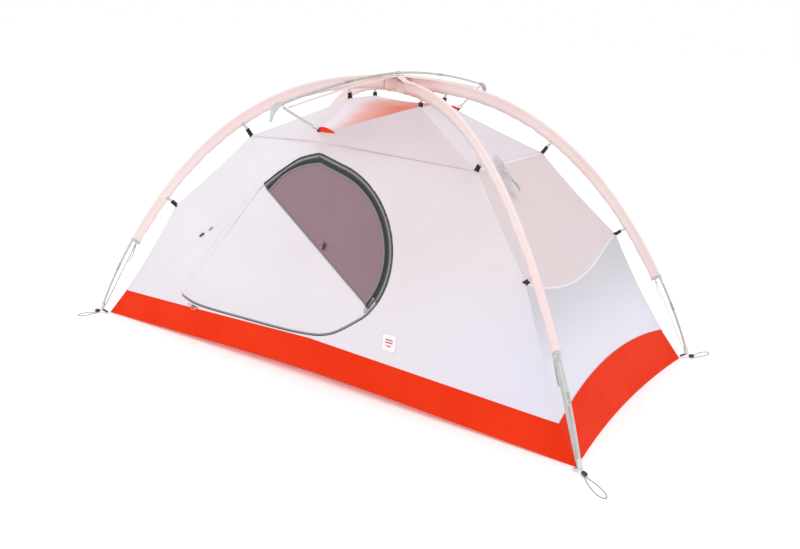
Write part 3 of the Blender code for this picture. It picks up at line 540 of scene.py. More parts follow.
# Meshes.
def finish_piece(item, material, body, stands_for=()):
    item.data.materials.append(MAT[material])
    if body:
        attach(item, body)
    if stands_for:
        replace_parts(item, *stands_for)
    return item


def mesh_object(name, points, faces, uv=None):
    """A mesh with outward normals, smooth shading and a map in metres where uv gives one."""
    mesh = bpy.data.meshes.new(name)
    mesh.from_pydata([tuple(p) for p in np.asarray(points, float).reshape(-1, 3)], [], faces)
    if uv is not None:
        flat = np.asarray(uv, float).reshape(-1, 2)
        layer = mesh.uv_layers.new(name="UVMap")
        index = np.empty(len(mesh.loops), np.int32)
        mesh.loops.foreach_get("vertex_index", index)
        layer.data.foreach_set("uv", flat[index].ravel())
    mesh.update()
    mesh.shade_smooth()
    item = bpy.data.objects.new(name, mesh)
    bpy.context.scene.collection.objects.link(item)
    return item


def grid_faces(rows, columns, closed=False):
    last = columns if closed else columns - 1
    return [(r * columns + c, r * columns + (c + 1) % columns, (r + 1) * columns + (c + 1) % columns,
             (r + 1) * columns + c) for r in range(rows - 1) for c in range(last)]


def grid_uv(grid):
    """Distances in metres along a grid's rows and columns, from its middle row and column."""
    rows, columns = grid.shape[:2]
    across = np.linalg.norm(np.diff(grid[rows // 2], axis=0), axis=1)
    upward = np.linalg.norm(np.diff(grid[:, columns // 2], axis=0), axis=1)
    u = np.concatenate([[0.0], np.cumsum(across)])
    v = np.concatenate([[0.0], np.cumsum(upward)])
    return np.stack(np.broadcast_arrays(u[None, :], v[:, None]), axis=-1)


def thicken(item, thickness, offset=0.0):
    modifier = item.modifiers.new("thickness", "SOLIDIFY")
    modifier.thickness = thickness
    modifier.offset = offset
    return item


def cloth(name, grid, material, body=TENT, stands_for=(), weave=None):
    """A panel from a grid of points, with a cloth's thickness.
    weave gives the two axes that its yarns run along, where they don't follow the grid."""
    uv = grid_uv(grid) if weave is None else grid[..., list(weave)]
    item = mesh_object(name, grid, grid_faces(*grid.shape[:2]), uv)
    return declare_cloth(item, material, body, stands_for)


def declare_cloth(item, material, body, stands_for=()):
    size = grid_extent(item)
    thicken(item, CLOTH)
    finish_piece(item, material, body, stands_for)
    return item


def grid_extent(item):
    """The two lengths, in metres, that the piece's map spans."""
    layer = item.data.uv_layers["UVMap"]
    uv = np.empty(len(layer.data) * 2)
    layer.data.foreach_get("uv", uv)
    low, high = uv.reshape(-1, 2).min(0), uv.reshape(-1, 2).max(0)
    return float(high[0] - low[0]), float(high[1] - low[1])


def upsampled(grid, factor):
    """A grid with factor times as many cells each way, on Catmull-Rom curves."""
    rows = np.stack([smooth(grid[:, c], factor) for c in range(grid.shape[1])], axis=1)
    return np.stack([smooth(rows[r], factor) for r in range(rows.shape[0])], axis=0)


def coons_grid(bottom, top, left, right):
    rows, columns = len(left), len(bottom)
    v = np.linspace(0, 1, rows)[:, None, None]
    u = np.linspace(0, 1, columns)[None, :, None]
    ruled = (1 - v) * bottom[None] + v * top[None] + (1 - u) * left[:, None] + u * right[:, None]
    corners = ((1 - u) * (1 - v) * bottom[0] + u * (1 - v) * bottom[-1]
               + (1 - u) * v * top[0] + u * v * top[-1])
    return ruled - corners


def relaxed(grid, steps, settle=None):
    """Pulls the inside of a grid tight, like stretched cloth, with its border held."""
    grid = grid.copy()
    for _ in range(steps):
        grid[1:-1, 1:-1] = (grid[:-2, 1:-1] + grid[2:, 1:-1] + grid[1:-1, :-2] + grid[1:-1, 2:]) / 4
        if settle:
            settle(grid)
    return grid


def grid_normals(grid):
    across = np.gradient(grid, axis=1)
    upward = np.gradient(grid, axis=0)
    normal = np.cross(across, upward)
    length = np.linalg.norm(normal, axis=-1, keepdims=True)
    return normal / np.maximum(length, 1e-12)


def fold_height(flat, folds):
    """Height of soft folds over a plane: each is (start, end, width, height), strongest at its start."""
    height = np.zeros(flat.shape[:-1])
    for start, end, width, tall in folds:
        start, way = np.array(start), np.array(end) - np.array(start)
        length = np.linalg.norm(way)
        way = way / length
        out = flat - start
        t = out @ way / length
        beside = out @ np.array((-way[1], way[0]))
        spread = width * (0.6 + 0.8 * np.clip(t, 0, 1))
        taper = np.clip(t * 8, 0, 1) * np.clip(1 - t, 0, 1) ** 0.8
        height += tall * taper * np.exp(-((beside / spread) ** 2))
    return height


def fan(centre, length, start, end, count, width, tall):
    """Folds that spread from one point, alternating up and down."""
    folds = []
    for i, angle in enumerate(np.radians(np.linspace(start, end, count))):
        reach = length * (0.75 + 0.25 * math.cos(i * 2.4))
        tip = (centre[0] + reach * math.cos(angle), centre[1] + reach * math.sin(angle))
        folds.append((centre, tip, width, tall * (1 if i % 2 else -0.7)))
    return folds


def ribbon(name, centre, normals, width, rise, material, body=TENT, lift=0.0):
    """A flat tape along centre, lying on the cloth whose outward normals are given."""
    centre, normals = np.array(centre, float), np.array(normals, float)
    ahead = np.gradient(centre, axis=0)
    side = np.cross(ahead, normals)
    side /= np.linalg.norm(side, axis=1, keepdims=True)
    base = centre + normals * lift
    half = width / 2
    rows = [base - side * half, base - side * half * TAPE_CROWN + normals * rise,
            base + side * half * TAPE_CROWN + normals * rise, base + side * half]
    points = np.stack(rows, axis=1)
    sunk = base - normals * TAPE_SINK
    under = np.stack([sunk + side * half, sunk - side * half], axis=1)
    ring = np.concatenate([points, under], axis=1)
    length = travelled(centre)
    spread = np.array([-half, -half * TAPE_CROWN, half * TAPE_CROWN, half, half, -half]) + half
    uv = np.stack(np.broadcast_arrays(spread[None, :], length[:, None]), axis=-1)
    return finish_piece(capped_tube(name, ring, uv, SOFT_EDGE), material, body)


def capped_tube(name, rings, uv, edge):
    """A closed mesh through rings of points, with a face over each end. Edges past the angle stay sharp."""
    rings = np.asarray(rings, float)
    count = rings.shape[1]
    faces = grid_faces(len(rings), count, closed=True)
    faces += [tuple(range(count)), tuple(range((len(rings) - 1) * count, len(rings) * count))[::-1]]
    item = outward(mesh_object(name, rings, faces, uv))
    item.data.set_sharp_from_angle(angle=edge)
    return item


def outward(item):
    """The mesh with all its faces turned to look out."""
    shape = bmesh.new()
    shape.from_mesh(item.data)
    bmesh.ops.recalc_face_normals(shape, faces=shape.faces)
    shape.to_mesh(item.data)
    shape.free()
    return item


def rod(name, points, radius, material, body=TENT, sides=12, profile=None):
    """A round bar or cord through the points as a closed mesh. profile gives each point's share of radius."""
    points = np.array(points, float)
    ahead = np.gradient(points, axis=0)
    ahead /= np.linalg.norm(ahead, axis=1, keepdims=True)
    side = np.cross(ahead[0], (0.0, 0.0, 1.0))
    if np.linalg.norm(side) < 0.1:
        side = np.cross(ahead[0], (1.0, 0.0, 0.0))
    rings = []
    angles = 2 * math.pi * np.arange(sides) / sides
    for i, (point, way) in enumerate(zip(points, ahead)):
        side = side - way * (side @ way)
        side /= np.linalg.norm(side)
        over = np.cross(way, side)
        thick = radius * (profile[i] if profile is not None else 1.0)
        rings.append(point + thick * (np.cos(angles)[:, None] * side + np.sin(angles)[:, None] * over))
    length = travelled(points)
    uv = np.stack(np.broadcast_arrays((angles * radius)[None, :], length[:, None]), axis=-1)
    return finish_piece(capped_tube(name, rings, uv, SOFT_EDGE), material, body)


# Cords come first.
def curve_cord(name, points, radius, material, body=TENT):
    curve = bpy.data.curves.new(name, "CURVE")
    curve.dimensions = "3D"
    curve.bevel_depth = radius
    curve.bevel_resolution = 3
    curve.use_fill_caps = True
    spline = curve.splines.new("POLY")
    spline.points.add(len(points) - 1)
    for vertex, point in zip(spline.points, points):
        vertex.co = (*point, 1.0)
    item = bpy.data.objects.new(name, curve)
    bpy.context.scene.collection.objects.link(item)
    curve.materials.append(MAT[material])
    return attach(item, body)


def route_length(points):
    return float(np.linalg.norm(np.diff(np.array(points, float), axis=0), axis=1).sum())


def build_stake_loop(corner, quadrant):
    """A teardrop of cord on the ground, from the corner out and back."""
    heading, length = STAKE_LOOPS[corner]
    way = Vector((math.cos(math.radians(heading)), math.sin(math.radians(heading)), 0.0))
    beside = Vector((-way.y, way.x, 0.0))
    start = in_plane(quadrant, 1.262, CORD_RADIUS + 0.0002)
    width, open_angle, steps = 0.020, 0.60, 36
    points = []
    for i in range(steps + 1):
        turn = open_angle + (2 * math.pi - 2 * open_angle) * i / steps
        out = length * (1 - math.cos(turn)) / 2
        points.append(start + way * out + beside * width * math.sin(turn) * math.sin(turn / 2))
    item = curve_cord(f"{corner}_stake_cord", points, CORD_RADIUS, "dark_cord")
    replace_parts(item, f"{corner}_stake_loop")


def hank_places():
    """The spare cord's knots as (along the hank, beside it, across its turns): six turns, then the wraps."""
    places = []
    for turn in range(HANK_TURNS):
        share = turn / (HANK_TURNS - 1)
        loops = ((-1, 0.072 + 0.012 * share, 0.014 + 0.003 * share, 1),
                 (1, 0.078 + 0.014 * (1 - share), 0.018 + 0.006 * (1 - share), -1))
        for end, far, wide, near_side in loops:
            for step, (out, side) in enumerate(HANK_LOOP):
                part = turn + (step / len(HANK_LOOP) + (end > 0)) / 2
                beside = near_side * (HANK_NECK if out == 0 else side * wide)
                places.append((end * out * far, beside, (part - HANK_TURNS / 2) * HANK_PITCH))
    for step in range(WRAPS * WRAP_STEPS + 1):
        angle = 2 * math.pi * step / WRAP_STEPS
        slid = WRAP_START - HANK_PITCH * step / WRAP_STEPS
        places.append((slid, WRAP_WIDE * math.cos(angle), WRAP_THICK * math.sin(angle)))
    return places


def build_guyline():
    """The cord between the mid clips of the right end, with its spare length tied in a hank."""
    lean = Matrix.Rotation(HANK_LEAN, 3, "Y")
    hank = [tuple(HANK_CENTRE + lean @ Vector((across, beside, -along))) for along, beside,
            across in hank_places()]
    near = [(0.522, -0.258, 0.806), (0.533, -0.195, 0.796), (0.5415, -0.140, 0.7835)]
    far = [(0.540, -0.040, 0.786), (0.534, 0.090, 0.796), (0.522, 0.258, 0.806)]
    route = smooth(near + hank + far, 5)
    item = curve_cord("end_guy_cord", route, CORD_RADIUS, "cord")
    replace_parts(item, "end_guyline", "guyline_hank")


# The tent body.
def wall_grid():
    """The front wall's stretched cloth: a fine grid, flat round the door, with soft folds."""
    knots = (BAND_CORNER, LOW_CLIP, MID_CLIP)
    columns, rows = 27, 15
    left = resample(hip_points((-1, -1), knots, 6), rows)
    right = resample(hip_points((1, -1), knots, 6), rows)
    half = columns // 2
    seam = along([left[-1], (0.0, -BROW_SEAM[0], BROW_SEAM[1]), right[-1]], (half, half))
    foot = np.array([band_top(t) for t in np.linspace(-1, 1, columns)])
    zone = offset_path(door_zip_path()[::6], 0.030)

    def flat_in_door(grid):
        lean = math.hypot(1.0, DOOR_LEAN)
        inside = inside_outline(np.stack([grid[..., 0], grid[..., 2] * lean], axis=-1), zone)
        inside[0] = inside[-1] = inside[:, 0] = inside[:, -1] = False
        grid[inside, 1] = DOOR_FOOT_Y + DOOR_LEAN * grid[inside, 2]

    grid = upsampled(relaxed(coons_grid(foot, seam, left, right), RELAX_STEPS, flat_in_door), WALL_FINE)
    lean = math.hypot(1.0, DOOR_LEAN)
    flat = np.stack([grid[..., 0], grid[..., 2] * lean], axis=-1)
    a_mid, b_mid = (-0.510, 0.810), (0.510, 0.810)
    a_low, b_low = (-0.793, 0.505), (0.793, 0.505)
    a_foot, b_foot = (-1.0, 0.112), (1.0, 0.112)
    folds = (fan(a_mid, 0.34, -78, -18, 4, 0.010, 0.0018) + fan(b_mid, 0.42, -168, -100, 5, 0.011, 0.0020)
             + fan(a_low, 0.30, -60, 20, 4, 0.011, 0.0018) + fan(b_low, 0.36, 160, 236, 5, 0.011, 0.0022)
             + fan(a_foot, 0.34, 8, 56, 4, 0.012, 0.0020) + fan(b_foot, 0.42, 112, 172, 6, 0.012, 0.0028)
             + [((0.345, 0.640), (0.560, 0.560), 0.014, 0.0024),
                ((0.350, 0.560), (0.600, 0.420), 0.014, -0.0022),
                ((0.345, 0.480), (0.640, 0.300), 0.016, 0.0026),
                ((0.240, 0.290), (0.520, 0.150), 0.016, 0.0022),
                ((0.160, 0.800), (0.480, 0.812), 0.014, 0.0020),
                ((-0.500, 0.800), (-0.290, 0.700), 0.010, 0.0014)])
    away = edge_share(grid.shape[:2], 10)
    outside = ~inside_outline(flat, offset_path(door_zip_path(), 0.004))
    push = fold_height(flat, folds) * away * outside
    return grid - grid_normals(grid) * -push[..., None]


def edge_share(shape, cells):
    """0 on a grid's border, rising to 1 that many cells inside it."""
    rows = np.minimum(np.arange(shape[0]), np.arange(shape[0])[::-1])[:, None]
    columns = np.minimum(np.arange(shape[1]), np.arange(shape[1])[::-1])[None, :]
    share = np.clip(np.minimum(rows, columns) / cells, 0, 1)
    return share * share * (3 - 2 * share)


def inside_outline(flat, outline):
    """Which plane points lie inside a closed outline."""
    x, y = flat[..., 0], flat[..., 1]
    inside = np.zeros(x.shape, bool)
    for (x0, y0), (x1, y1) in zip(outline, np.roll(outline, -1, axis=0)):
        crosses = (y0 > y) != (y1 > y)
        run = (x1 - x0) * (y - y0) / (y1 - y0 if y1 != y0 else 1e-12) + x0
        inside ^= crosses & (x < run)
    return inside


def nearest_on(outline, places):
    """The closest point of a closed outline to each place."""
    start = np.array(outline)
    way = np.roll(start, -1, axis=0) - start
    out = places[:, None, :] - start[None]
    t = np.clip((out * way).sum(-1) / (way * way).sum(-1), 0, 1)
    near = start[None] + way[None] * t[..., None]
    best = np.argmin(((near - places[:, None, :]) ** 2).sum(-1), axis=1)
    return near[np.arange(len(places)), best]


def cut_faces(flat, outline, keep_inside):
    """Faces of a grid on one side of an outline, and its places, with the border points on the outline."""
    rows, columns = flat.shape[:2]
    places = flat.reshape(-1, 2).copy()
    kept = inside_outline(places, outline) == keep_inside
    faces = [f for f in grid_faces(rows, columns) if any(kept[i] for i in f)]
    used = np.unique(np.array(faces))
    border = [i for i in used if not kept[i]]
    places[border] = nearest_on(outline, places[border])
    return faces, places, border


def loose_removed(points, faces, uv):
    """Drops the points that no face uses."""
    used, index = np.unique(np.array(faces), return_inverse=True)
    faces = [tuple(f) for f in index.reshape(len(faces), -1).tolist()]
    return points[used], faces, uv[used]


def build_side_wall(side, matrix, grid):
    lean = math.hypot(1.0, DOOR_LEAN)
    flat = np.stack([grid[..., 0], grid[..., 2] * lean], axis=-1)
    outline = offset_path(door_zip_path(), DOOR_GAP)
    faces, places, border = cut_faces(flat, outline, False)
    points = grid.reshape(-1, 3).copy()
    points[border] = door_points(places[border])
    points, faces, uv = loose_removed(points, faces, flat.reshape(-1, 2))
    item = mesh_object(f"{side}_wall_cloth", turned(points, matrix), faces, uv)
    return declare_cloth(item, "wall", TENT, [f"{side}_wall"])


def surface_tree(grid):
    return BVHTree.FromPolygons([Vector(p) for p in grid.reshape(-1, 3)], grid_faces(*grid.shape[:2]))


def laid_on(tree, places, way):
    """Where rays along way from the places meet a surface, and its normals there, facing the rays' start."""
    way = Vector(way).normalized()
    points, normals = [], []
    for place in places:
        hit, normal, _, _ = tree.ray_cast(Vector(place) - way * 0.6, way)
        if hit is None:
            hit, normal, _, _ = tree.find_nearest(Vector(place))
        points.append(hit)
        normals.append(normal if normal.dot(way) < 0 else -normal)
    return np.array(points), np.array(normals)


def build_wall_trim(side, matrix, grid):
    """Seams, the label and the door's tie-backs on a side wall."""
    tree = surface_tree(grid)
    inward = (0.0, 1.0, 0.0)

    def on_wall(knots, steps):
        return laid_on(tree, door_points(resample(knots, steps), 0.0), inward)

    def place(points, normals):
        return turned(points, matrix), turned(normals, matrix)

    lines = {
        "hinge_seam": [(-0.510, 0.809), (-0.360, 0.735), HINGE_HEAD],
        "fold_seam": [HINGE_HEAD, (-0.831, 0.226)],
        "pocket_seam": [(-0.831, 0.226), (-0.760, 0.190), HINGE_FOOT],
    }
    for name, knots in lines.items():
        centre, normals = place(*on_wall(smooth(knots, 8), 60))
        ribbon(f"{side}_{name}", centre, normals, SEAM_WIDTH, SEAM_RISE, "wall", lift=0.0003)
    for name, spot, tone, size in (("tie_toggle", (-0.596, 0.421), "crimson_cord", 0.0045),
                                   ("tie_loop", (-0.549, 0.454), "dark_cord", 0.0022)):
        centre, normals = place(*on_wall([(spot[0] - 0.010, spot[1] - 0.008),
                                          (spot[0] + 0.010, spot[1] + 0.008)], 9))
        swell = np.sin(np.linspace(0.5, math.pi - 0.5, 9)) ** 0.5
        rod(f"{side}_{name}", centre + normals * size, size, tone, profile=swell)
    half_wide, half_tall, middle = 0.028, 0.031, (0.347, 0.212)
    tag = [(x, y) for x in np.linspace(-half_wide, half_wide, 12)
           for y in np.linspace(-half_tall, half_tall, 14)]
    points, normals = laid_on(tree, door_points(np.array(middle) + np.array(tag)), inward)
    patch = (points + normals * 0.0009).reshape(12, 14, 3)
    item = mesh_object(f"{side}_label", turned(patch, matrix), grid_faces(12, 14), grid_uv(patch))
    thicken(item, 0.0006)
    finish_piece(item, "label", TENT)
    for row, (wide, at) in enumerate(((0.030, 0.010), (0.030, 0.000), (0.018, -0.012))):
        knots = [(middle[0] - wide / 2, middle[1] + at), (middle[0] + wide / 2, middle[1] + at)]
        centre, normals = place(*on_wall(knots, 8))
        ribbon(f"{side}_label_bar_{row}", centre, normals, 0.0045, 0.0004, "label_mark",
               lift=0.0014)


def door_ribbon(side, matrix, name, flat, width, rise, material, body, lift):
    centre = turned(door_points(flat), matrix)
    normals = np.repeat(turned(np.array(DOOR_OUT), matrix)[None], len(flat), axis=0)
    return ribbon(f"{side}_{name}", centre, normals, width, rise, material, body, lift)


def coil(side, matrix, name, flat, material, body, lift, radius=0.0022, pitch=0.0024):
    """A zip's closed coil: a round bead with a ring for each tooth pair."""
    length = route_length(flat)
    steps = int(length / pitch) * 2
    path = resample(flat, steps)
    bumps = np.where(np.arange(steps) % 2 == 0, 1.0, 0.72)
    centre = turned(door_points(path, np.full(steps, lift)), matrix)
    return rod(f"{side}_{name}", centre, radius, material, body, sides=8, profile=bumps)


def plane_grid(outline, cell):
    """A square grid of plane places that covers an outline."""
    low, high = outline.min(0) - cell, outline.max(0) + cell
    columns, rows = (np.ceil((high - low) / cell).astype(int) + 1)
    x = low[0] + np.arange(columns) * cell
    y = low[1] + np.arange(rows) * cell
    return np.stack(np.broadcast_arrays(x[None, :], y[:, None]), axis=-1)


def plane_cloth(side, matrix, name, outline, cell, folds, depth, material, body, stands_for, holes=()):
    """A panel in the door's plane inside an outline, outside its holes, with soft folds."""
    flat = plane_grid(outline, cell)
    faces, places, _ = cut_faces(flat, outline, True)
    shape = flat.shape
    for hole in holes:
        open_faces, cut, border = cut_faces(places.reshape(shape), hole, False)
        allowed = set(faces)
        faces = [f for f in open_faces if f in allowed]
        places[border] = cut[border]
    near = np.min(np.linalg.norm(places[:, None] - outline[None, ::3], axis=-1), axis=1)
    ease = np.clip(near / 0.03, 0, 1) ** 1.5
    height = fold_height(places, folds) * ease
    points = turned(door_points(places, depth + height), matrix)
    points, faces, uv = loose_removed(points, faces, places)
    item = mesh_object(f"{side}_{name}", points, faces, uv)
    return declare_cloth(item, material, body, stands_for)


def mirrored_in_sill(outline):
    base = np.array(WINDOW_SILL_LOW)
    way = np.array(WINDOW_SILL_HIGH) - base
    way /= np.linalg.norm(way)
    out = np.array(outline) - base
    return base + 2 * np.outer(out @ way, way) - out


def build_door(side, matrix):
    """The door's cloth, its window net and folded flap, and the zips that carry them."""
    door, flap = f"{side}_door", f"{side}_flap"
    zip_path, window = door_zip_path(), window_zip_path()
    cloth_folds = (fan((-0.285, 0.650), 0.30, 196, 250, 6, 0.009, 0.0016)
                   + fan((-0.640, 0.180), 0.36, 2, 42, 4, 0.012, 0.0018)
                   + fan((0.235, 0.300), 0.30, 168, 222, 4, 0.011, 0.0014))
    plane_cloth(side, matrix, "door_cloth", zip_path, 0.0065, cloth_folds, 0.0, "wall", door,
                [f"{side}_door_panel"], holes=[offset_path(window, 0.0005)])
    mesh_folds = (fan((0.030, 0.490), 0.27, -22, 4, 5, 0.007, 0.0030)
                  + fan((-0.235, 0.660), 0.20, -20, 44, 5, 0.008, 0.0026)
                  + [((0.190, 0.690), (0.130, 0.560), 0.020, 0.0028),
                     ((0.080, 0.760), (0.060, 0.600), 0.024, -0.0022),
                     ((-0.060, 0.740), (-0.030, 0.560), 0.030, 0.0020)])
    plane_cloth(side, matrix, "window_net", window, 0.0060, mesh_folds, 0.0, "mesh", door,
                [f"{side}_door_mesh"])
    flap_folds = fan((0.05, 0.35), 0.28, 150, 250, 4, 0.014, 0.0014)
    plane_cloth(side, matrix, "window_flap_cloth", mirrored_in_sill(window), 0.0080, flap_folds, -FLAP_DEPTH,
                "wall",
                flap, [f"{side}_window_flap"])
    arc_end = 3 * PATH_STEPS + ARC_STEPS - 7
    beside = door_zip_over_window()
    door_ribbon(side, matrix, "door_zip_tape", offset_path(zip_path, -0.0062)[:arc_end], 0.0125, 0.0010,
                "zip_grey", door, 0.0006)
    door_ribbon(side, matrix, "door_foot_tape", offset_path(zip_path, -0.0032)[arc_end - 2:], 0.0062,
                0.0010,
                "zip_grey", door, 0.0006)
    room = np.linalg.norm(beside - window, axis=1, keepdims=True)
    outer = beside + (window - beside) * np.minimum(0.42, 0.0115 / room)
    inner = window + (beside - window) * np.minimum(0.22, 0.0040 / room)
    strip = np.linspace(0, 1, 7)[:, None, None] * (inner - outer)[None] + outer[None]
    grid = turned(door_points(strip, np.full(strip.shape[:2], 0.0012)), matrix)
    band = mesh_object(f"{side}_window_zip_band", grid, grid_faces(*grid.shape[:2]), grid_uv(grid))
    thicken(band, 0.0008)
    finish_piece(band, "zip_dark", door)
    coil(side, matrix, "window_zip_coil", outer * 0.35 + inner * 0.65, "coil", door, 0.0026, radius=0.0017)
    door_ribbon(side, matrix, "window_hem", offset_path(window, 0.0012), 0.0056, 0.0012, "zip_grey",
                door, 0.0012)
    coil(side, matrix, "door_zip_coil", offset_path(zip_path, -0.0015)[:arc_end], "coil", door, 0.0022,
         radius=0.0014)
    sill = resample([WINDOW_SILL_HIGH, WINDOW_SILL_LOW], 40)
    door_ribbon(side, matrix, "window_sill_binding", sill + np.array((0.0025, 0.0036)), 0.0055, 0.0012,
                "zip_grey",
                door, 0.0007)
    build_hinge_strip(side, matrix)
    build_window_toggle(side, matrix)


def build_hinge_strip(side, matrix):
    """A flat strip of cloth across the line that the door folds on, from the wall's side to the door's, just
    behind the door's plane.
    """
    foot, head = np.array(HINGE_FOOT), np.array(HINGE_HEAD)
    way = (head - foot) / np.linalg.norm(head - foot)
    inward = np.array((way[1], -way[0]))
    line = resample([foot + way * 0.006, head - way * 0.006], 70)
    across = np.linspace(-0.020, 0.016, 10)
    flat = line[:, None, :] + inward * across[None, :, None]
    grid = turned(door_points(flat, np.full(flat.shape[:2], -0.0011)), matrix)
    item = mesh_object(f"{side}_hinge_cloth", grid, grid_faces(*grid.shape[:2]), grid_uv(grid))
    size = grid_extent(item)
    thicken(item, CLOTH)
    item.data.materials.append(MAT["wall"])
    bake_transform(item)


def build_window_toggle(side, matrix):
    """A toggle on a loop at the middle of the window's sill, for the rolled flap."""
    at = np.array((0.026, 0.496))
    body = f"{side}_door"
    bar = [at + np.array((0.006, -0.012)), at + np.array((0.010, 0.013))]
    lift = 0.0075
    points = turned(door_points(resample(bar, 9), np.full(9, lift)), matrix)
    swell = np.sin(np.linspace(0.45, math.pi - 0.45, 9)) ** 0.4
    rod(f"{side}_flap_toggle", points, 0.0048, "dark_plastic", body, profile=swell)
    loop = smooth([at + np.array(p) for p in ((-0.020, 0.006), (-0.014, 0.014), (-0.002, 0.014),
                                              (0.007, 0.004),
                                              (0.002, -0.006), (-0.010, -0.004))], 6)
    rise = 0.0022 + 0.0040 * np.sin(np.linspace(0, math.pi, len(loop)))
    rod(f"{side}_flap_toggle_loop", turned(door_points(loop, rise), matrix), 0.0011, "red_cord",
        body,
        sides=8)


def build_upper(side, matrix):
    """The cloth between the mid clips, the top clips and the brow clip."""
    steps = 6
    hips = [hip_points((sign, -1), (MID_CLIP, TOP_CLIP), steps) for sign in (-1, 1)]
    left, right = hips[0], hips[1][::-1]
    crest = [(-BROW_TAB, -BROW_CLIP[0], BROW_CLIP[1]), (BROW_TAB, -BROW_CLIP[0], BROW_CLIP[1])]
    top = np.concatenate([left[:-1], along([left[-1], *crest, right[0]], (steps, 1, steps)), right[1:]])
    seam = [(-BROW_TAB, -BROW_SEAM[0], BROW_SEAM[1]), (BROW_TAB, -BROW_SEAM[0], BROW_SEAM[1])]
    bottom = along([left[0], *seam, right[-1]], (2 * steps, 1, 2 * steps))
    fine, rows = 8, 41
    top = np.concatenate([along([a, b], (fine,))[:-1] for a, b in zip(top, top[1:])] + [top[-1:]])
    bottom = np.concatenate([along([a, b], (fine,))[:-1] for a, b in zip(bottom, bottom[1:])]
                            + [bottom[-1:]])
    v = np.linspace(0, 1, rows)[:, None, None]
    grid = (1 - v) * bottom[None] + v * top[None]
    flat = grid[..., [0, 2]]
    folds = (fan((0.0, 0.890), 0.40, 8, 60, 3, 0.012, 0.0020)
             + fan((0.0, 0.890), 0.40, 120, 172, 3, 0.012, 0.0018)
             + fan((0.510, 0.807), 0.34, 128, 178, 4, 0.010, 0.0018)
             + fan((-0.510, 0.807), 0.34, 2, 52, 4, 0.010, 0.0018))
    grid = grid + grid_normals(grid) * (fold_height(flat, folds) * edge_share(grid.shape[:2], 6))[..., None]
    cloth(f"{side}_upper_cloth", turned(grid, matrix), "wall", TENT, [f"{side}_upper_panel"],
          weave=(0, 2))
    normals = grid_normals(grid)[0]
    ribbon(f"{side}_brow_seam", turned(grid[0][4:-4], matrix),
           turned(normals[4:-4], matrix),
           SEAM_WIDTH, SEAM_RISE, "wall", lift=0.0003)


def build_roof():
    """The ridge from one brow clip to the other, held out by the four top clips."""
    near, far = in_plane((1, -1), *TOP_CLIP), in_plane((1, 1), *TOP_CLIP)
    knots = [(BROW_TAB, -BROW_CLIP[0], BROW_CLIP[1]), near, far, (BROW_TAB, BROW_CLIP[0], BROW_CLIP[1])]
    edge = along(knots, (60, 30, 60))
    across = np.linspace(-1, 1, 41)
    grid = np.stack([edge * np.array([a, 1.0, 1.0]) for a in across], axis=1)
    sag = (1 - across**2)[None, :] * np.abs(edge[:, :1] / edge[:, 0].max()) * 0.010
    grid[..., 2] -= sag
    flat = grid[..., [0, 1]]
    folds = []
    for y, turn in ((-BROW_CLIP[0], 0), (BROW_CLIP[0], 180)):
        folds += fan((0.0, y), 0.42, 72 + turn, 108 + turn, 5, 0.010, 0.0024)
    grid[..., 2] += fold_height(flat, folds) * edge_share(grid.shape[:2], 3)
    cloth("roof_cloth", grid, "roof", TENT, ["roof_panel"],
          weave=(0, 1))
    for side, matrix in SIDES.items():
        tip = Vector((0.0, -BROW_CLIP[0] - 0.002, BROW_CLIP[1] + 0.003))
        tail = [tip, tip + Vector((0.036, -0.006, 0.000)), tip + Vector((0.074, -0.004, 0.001))]
        path = smooth([tuple(p) for p in tail], 8)
        tall = 0.019 * np.sin(np.linspace(0.45, math.pi, len(path))) ** 0.8 + 0.0006
        rows = [path + np.array((0.0, -k * 0.30, k)) * tall[:, None] for k in np.linspace(0, 1, 7)]
        grid = turned(np.stack(rows, axis=1), matrix)
        cloth(f"{side}_roof_tab", grid, "tab", TENT, ())


def end_grid():
    rows, columns = 13, 13
    knots = (BAND_CORNER, LOW_CLIP, MID_CLIP)
    left = resample(hip_points((1, -1), knots, 6), rows)
    right = resample(hip_points((1, 1), knots, 6), rows)
    t = np.linspace(-1, 1, columns)[:, None]
    bow = 1 - t**2
    foot = np.concatenate([left[0][0] - FLOOR_END_BOW * bow, right[0][1] * t,
                           BAND_HEIGHT + BAND_END_RISE * bow], axis=1)
    brow = resample([left[-1], right[-1]], columns)
    grid = upsampled(relaxed(coons_grid(foot, brow, left, right), 200), END_FINE)
    flat = grid[..., [1, 2]]
    folds = (fan((-0.418, 0.502), 0.34, -60, 60, 6, 0.012, 0.0022)
             + fan((0.418, 0.502), 0.34, 120, 240, 6, 0.012, 0.0022)
             + fan((-0.527, 0.112), 0.34, 24, 78, 4, 0.012, 0.0024)
             + fan((0.527, 0.112), 0.34, 102, 156, 4, 0.012, 0.0024)
             + fan((-0.270, 0.806), 0.30, -66, -12, 4, 0.010, 0.0018)
             + fan((0.270, 0.806), 0.30, 192, 246, 4, 0.010, 0.0018))
    push = fold_height(flat, folds) * edge_share(grid.shape[:2], 8)
    return grid + grid_normals(grid) * push[..., None]


def vent_height(y):
    """Where the end wall's curved seam runs, from one low clip down and up to the other."""
    return 0.412 + 0.090 * (y / 0.418) ** 2


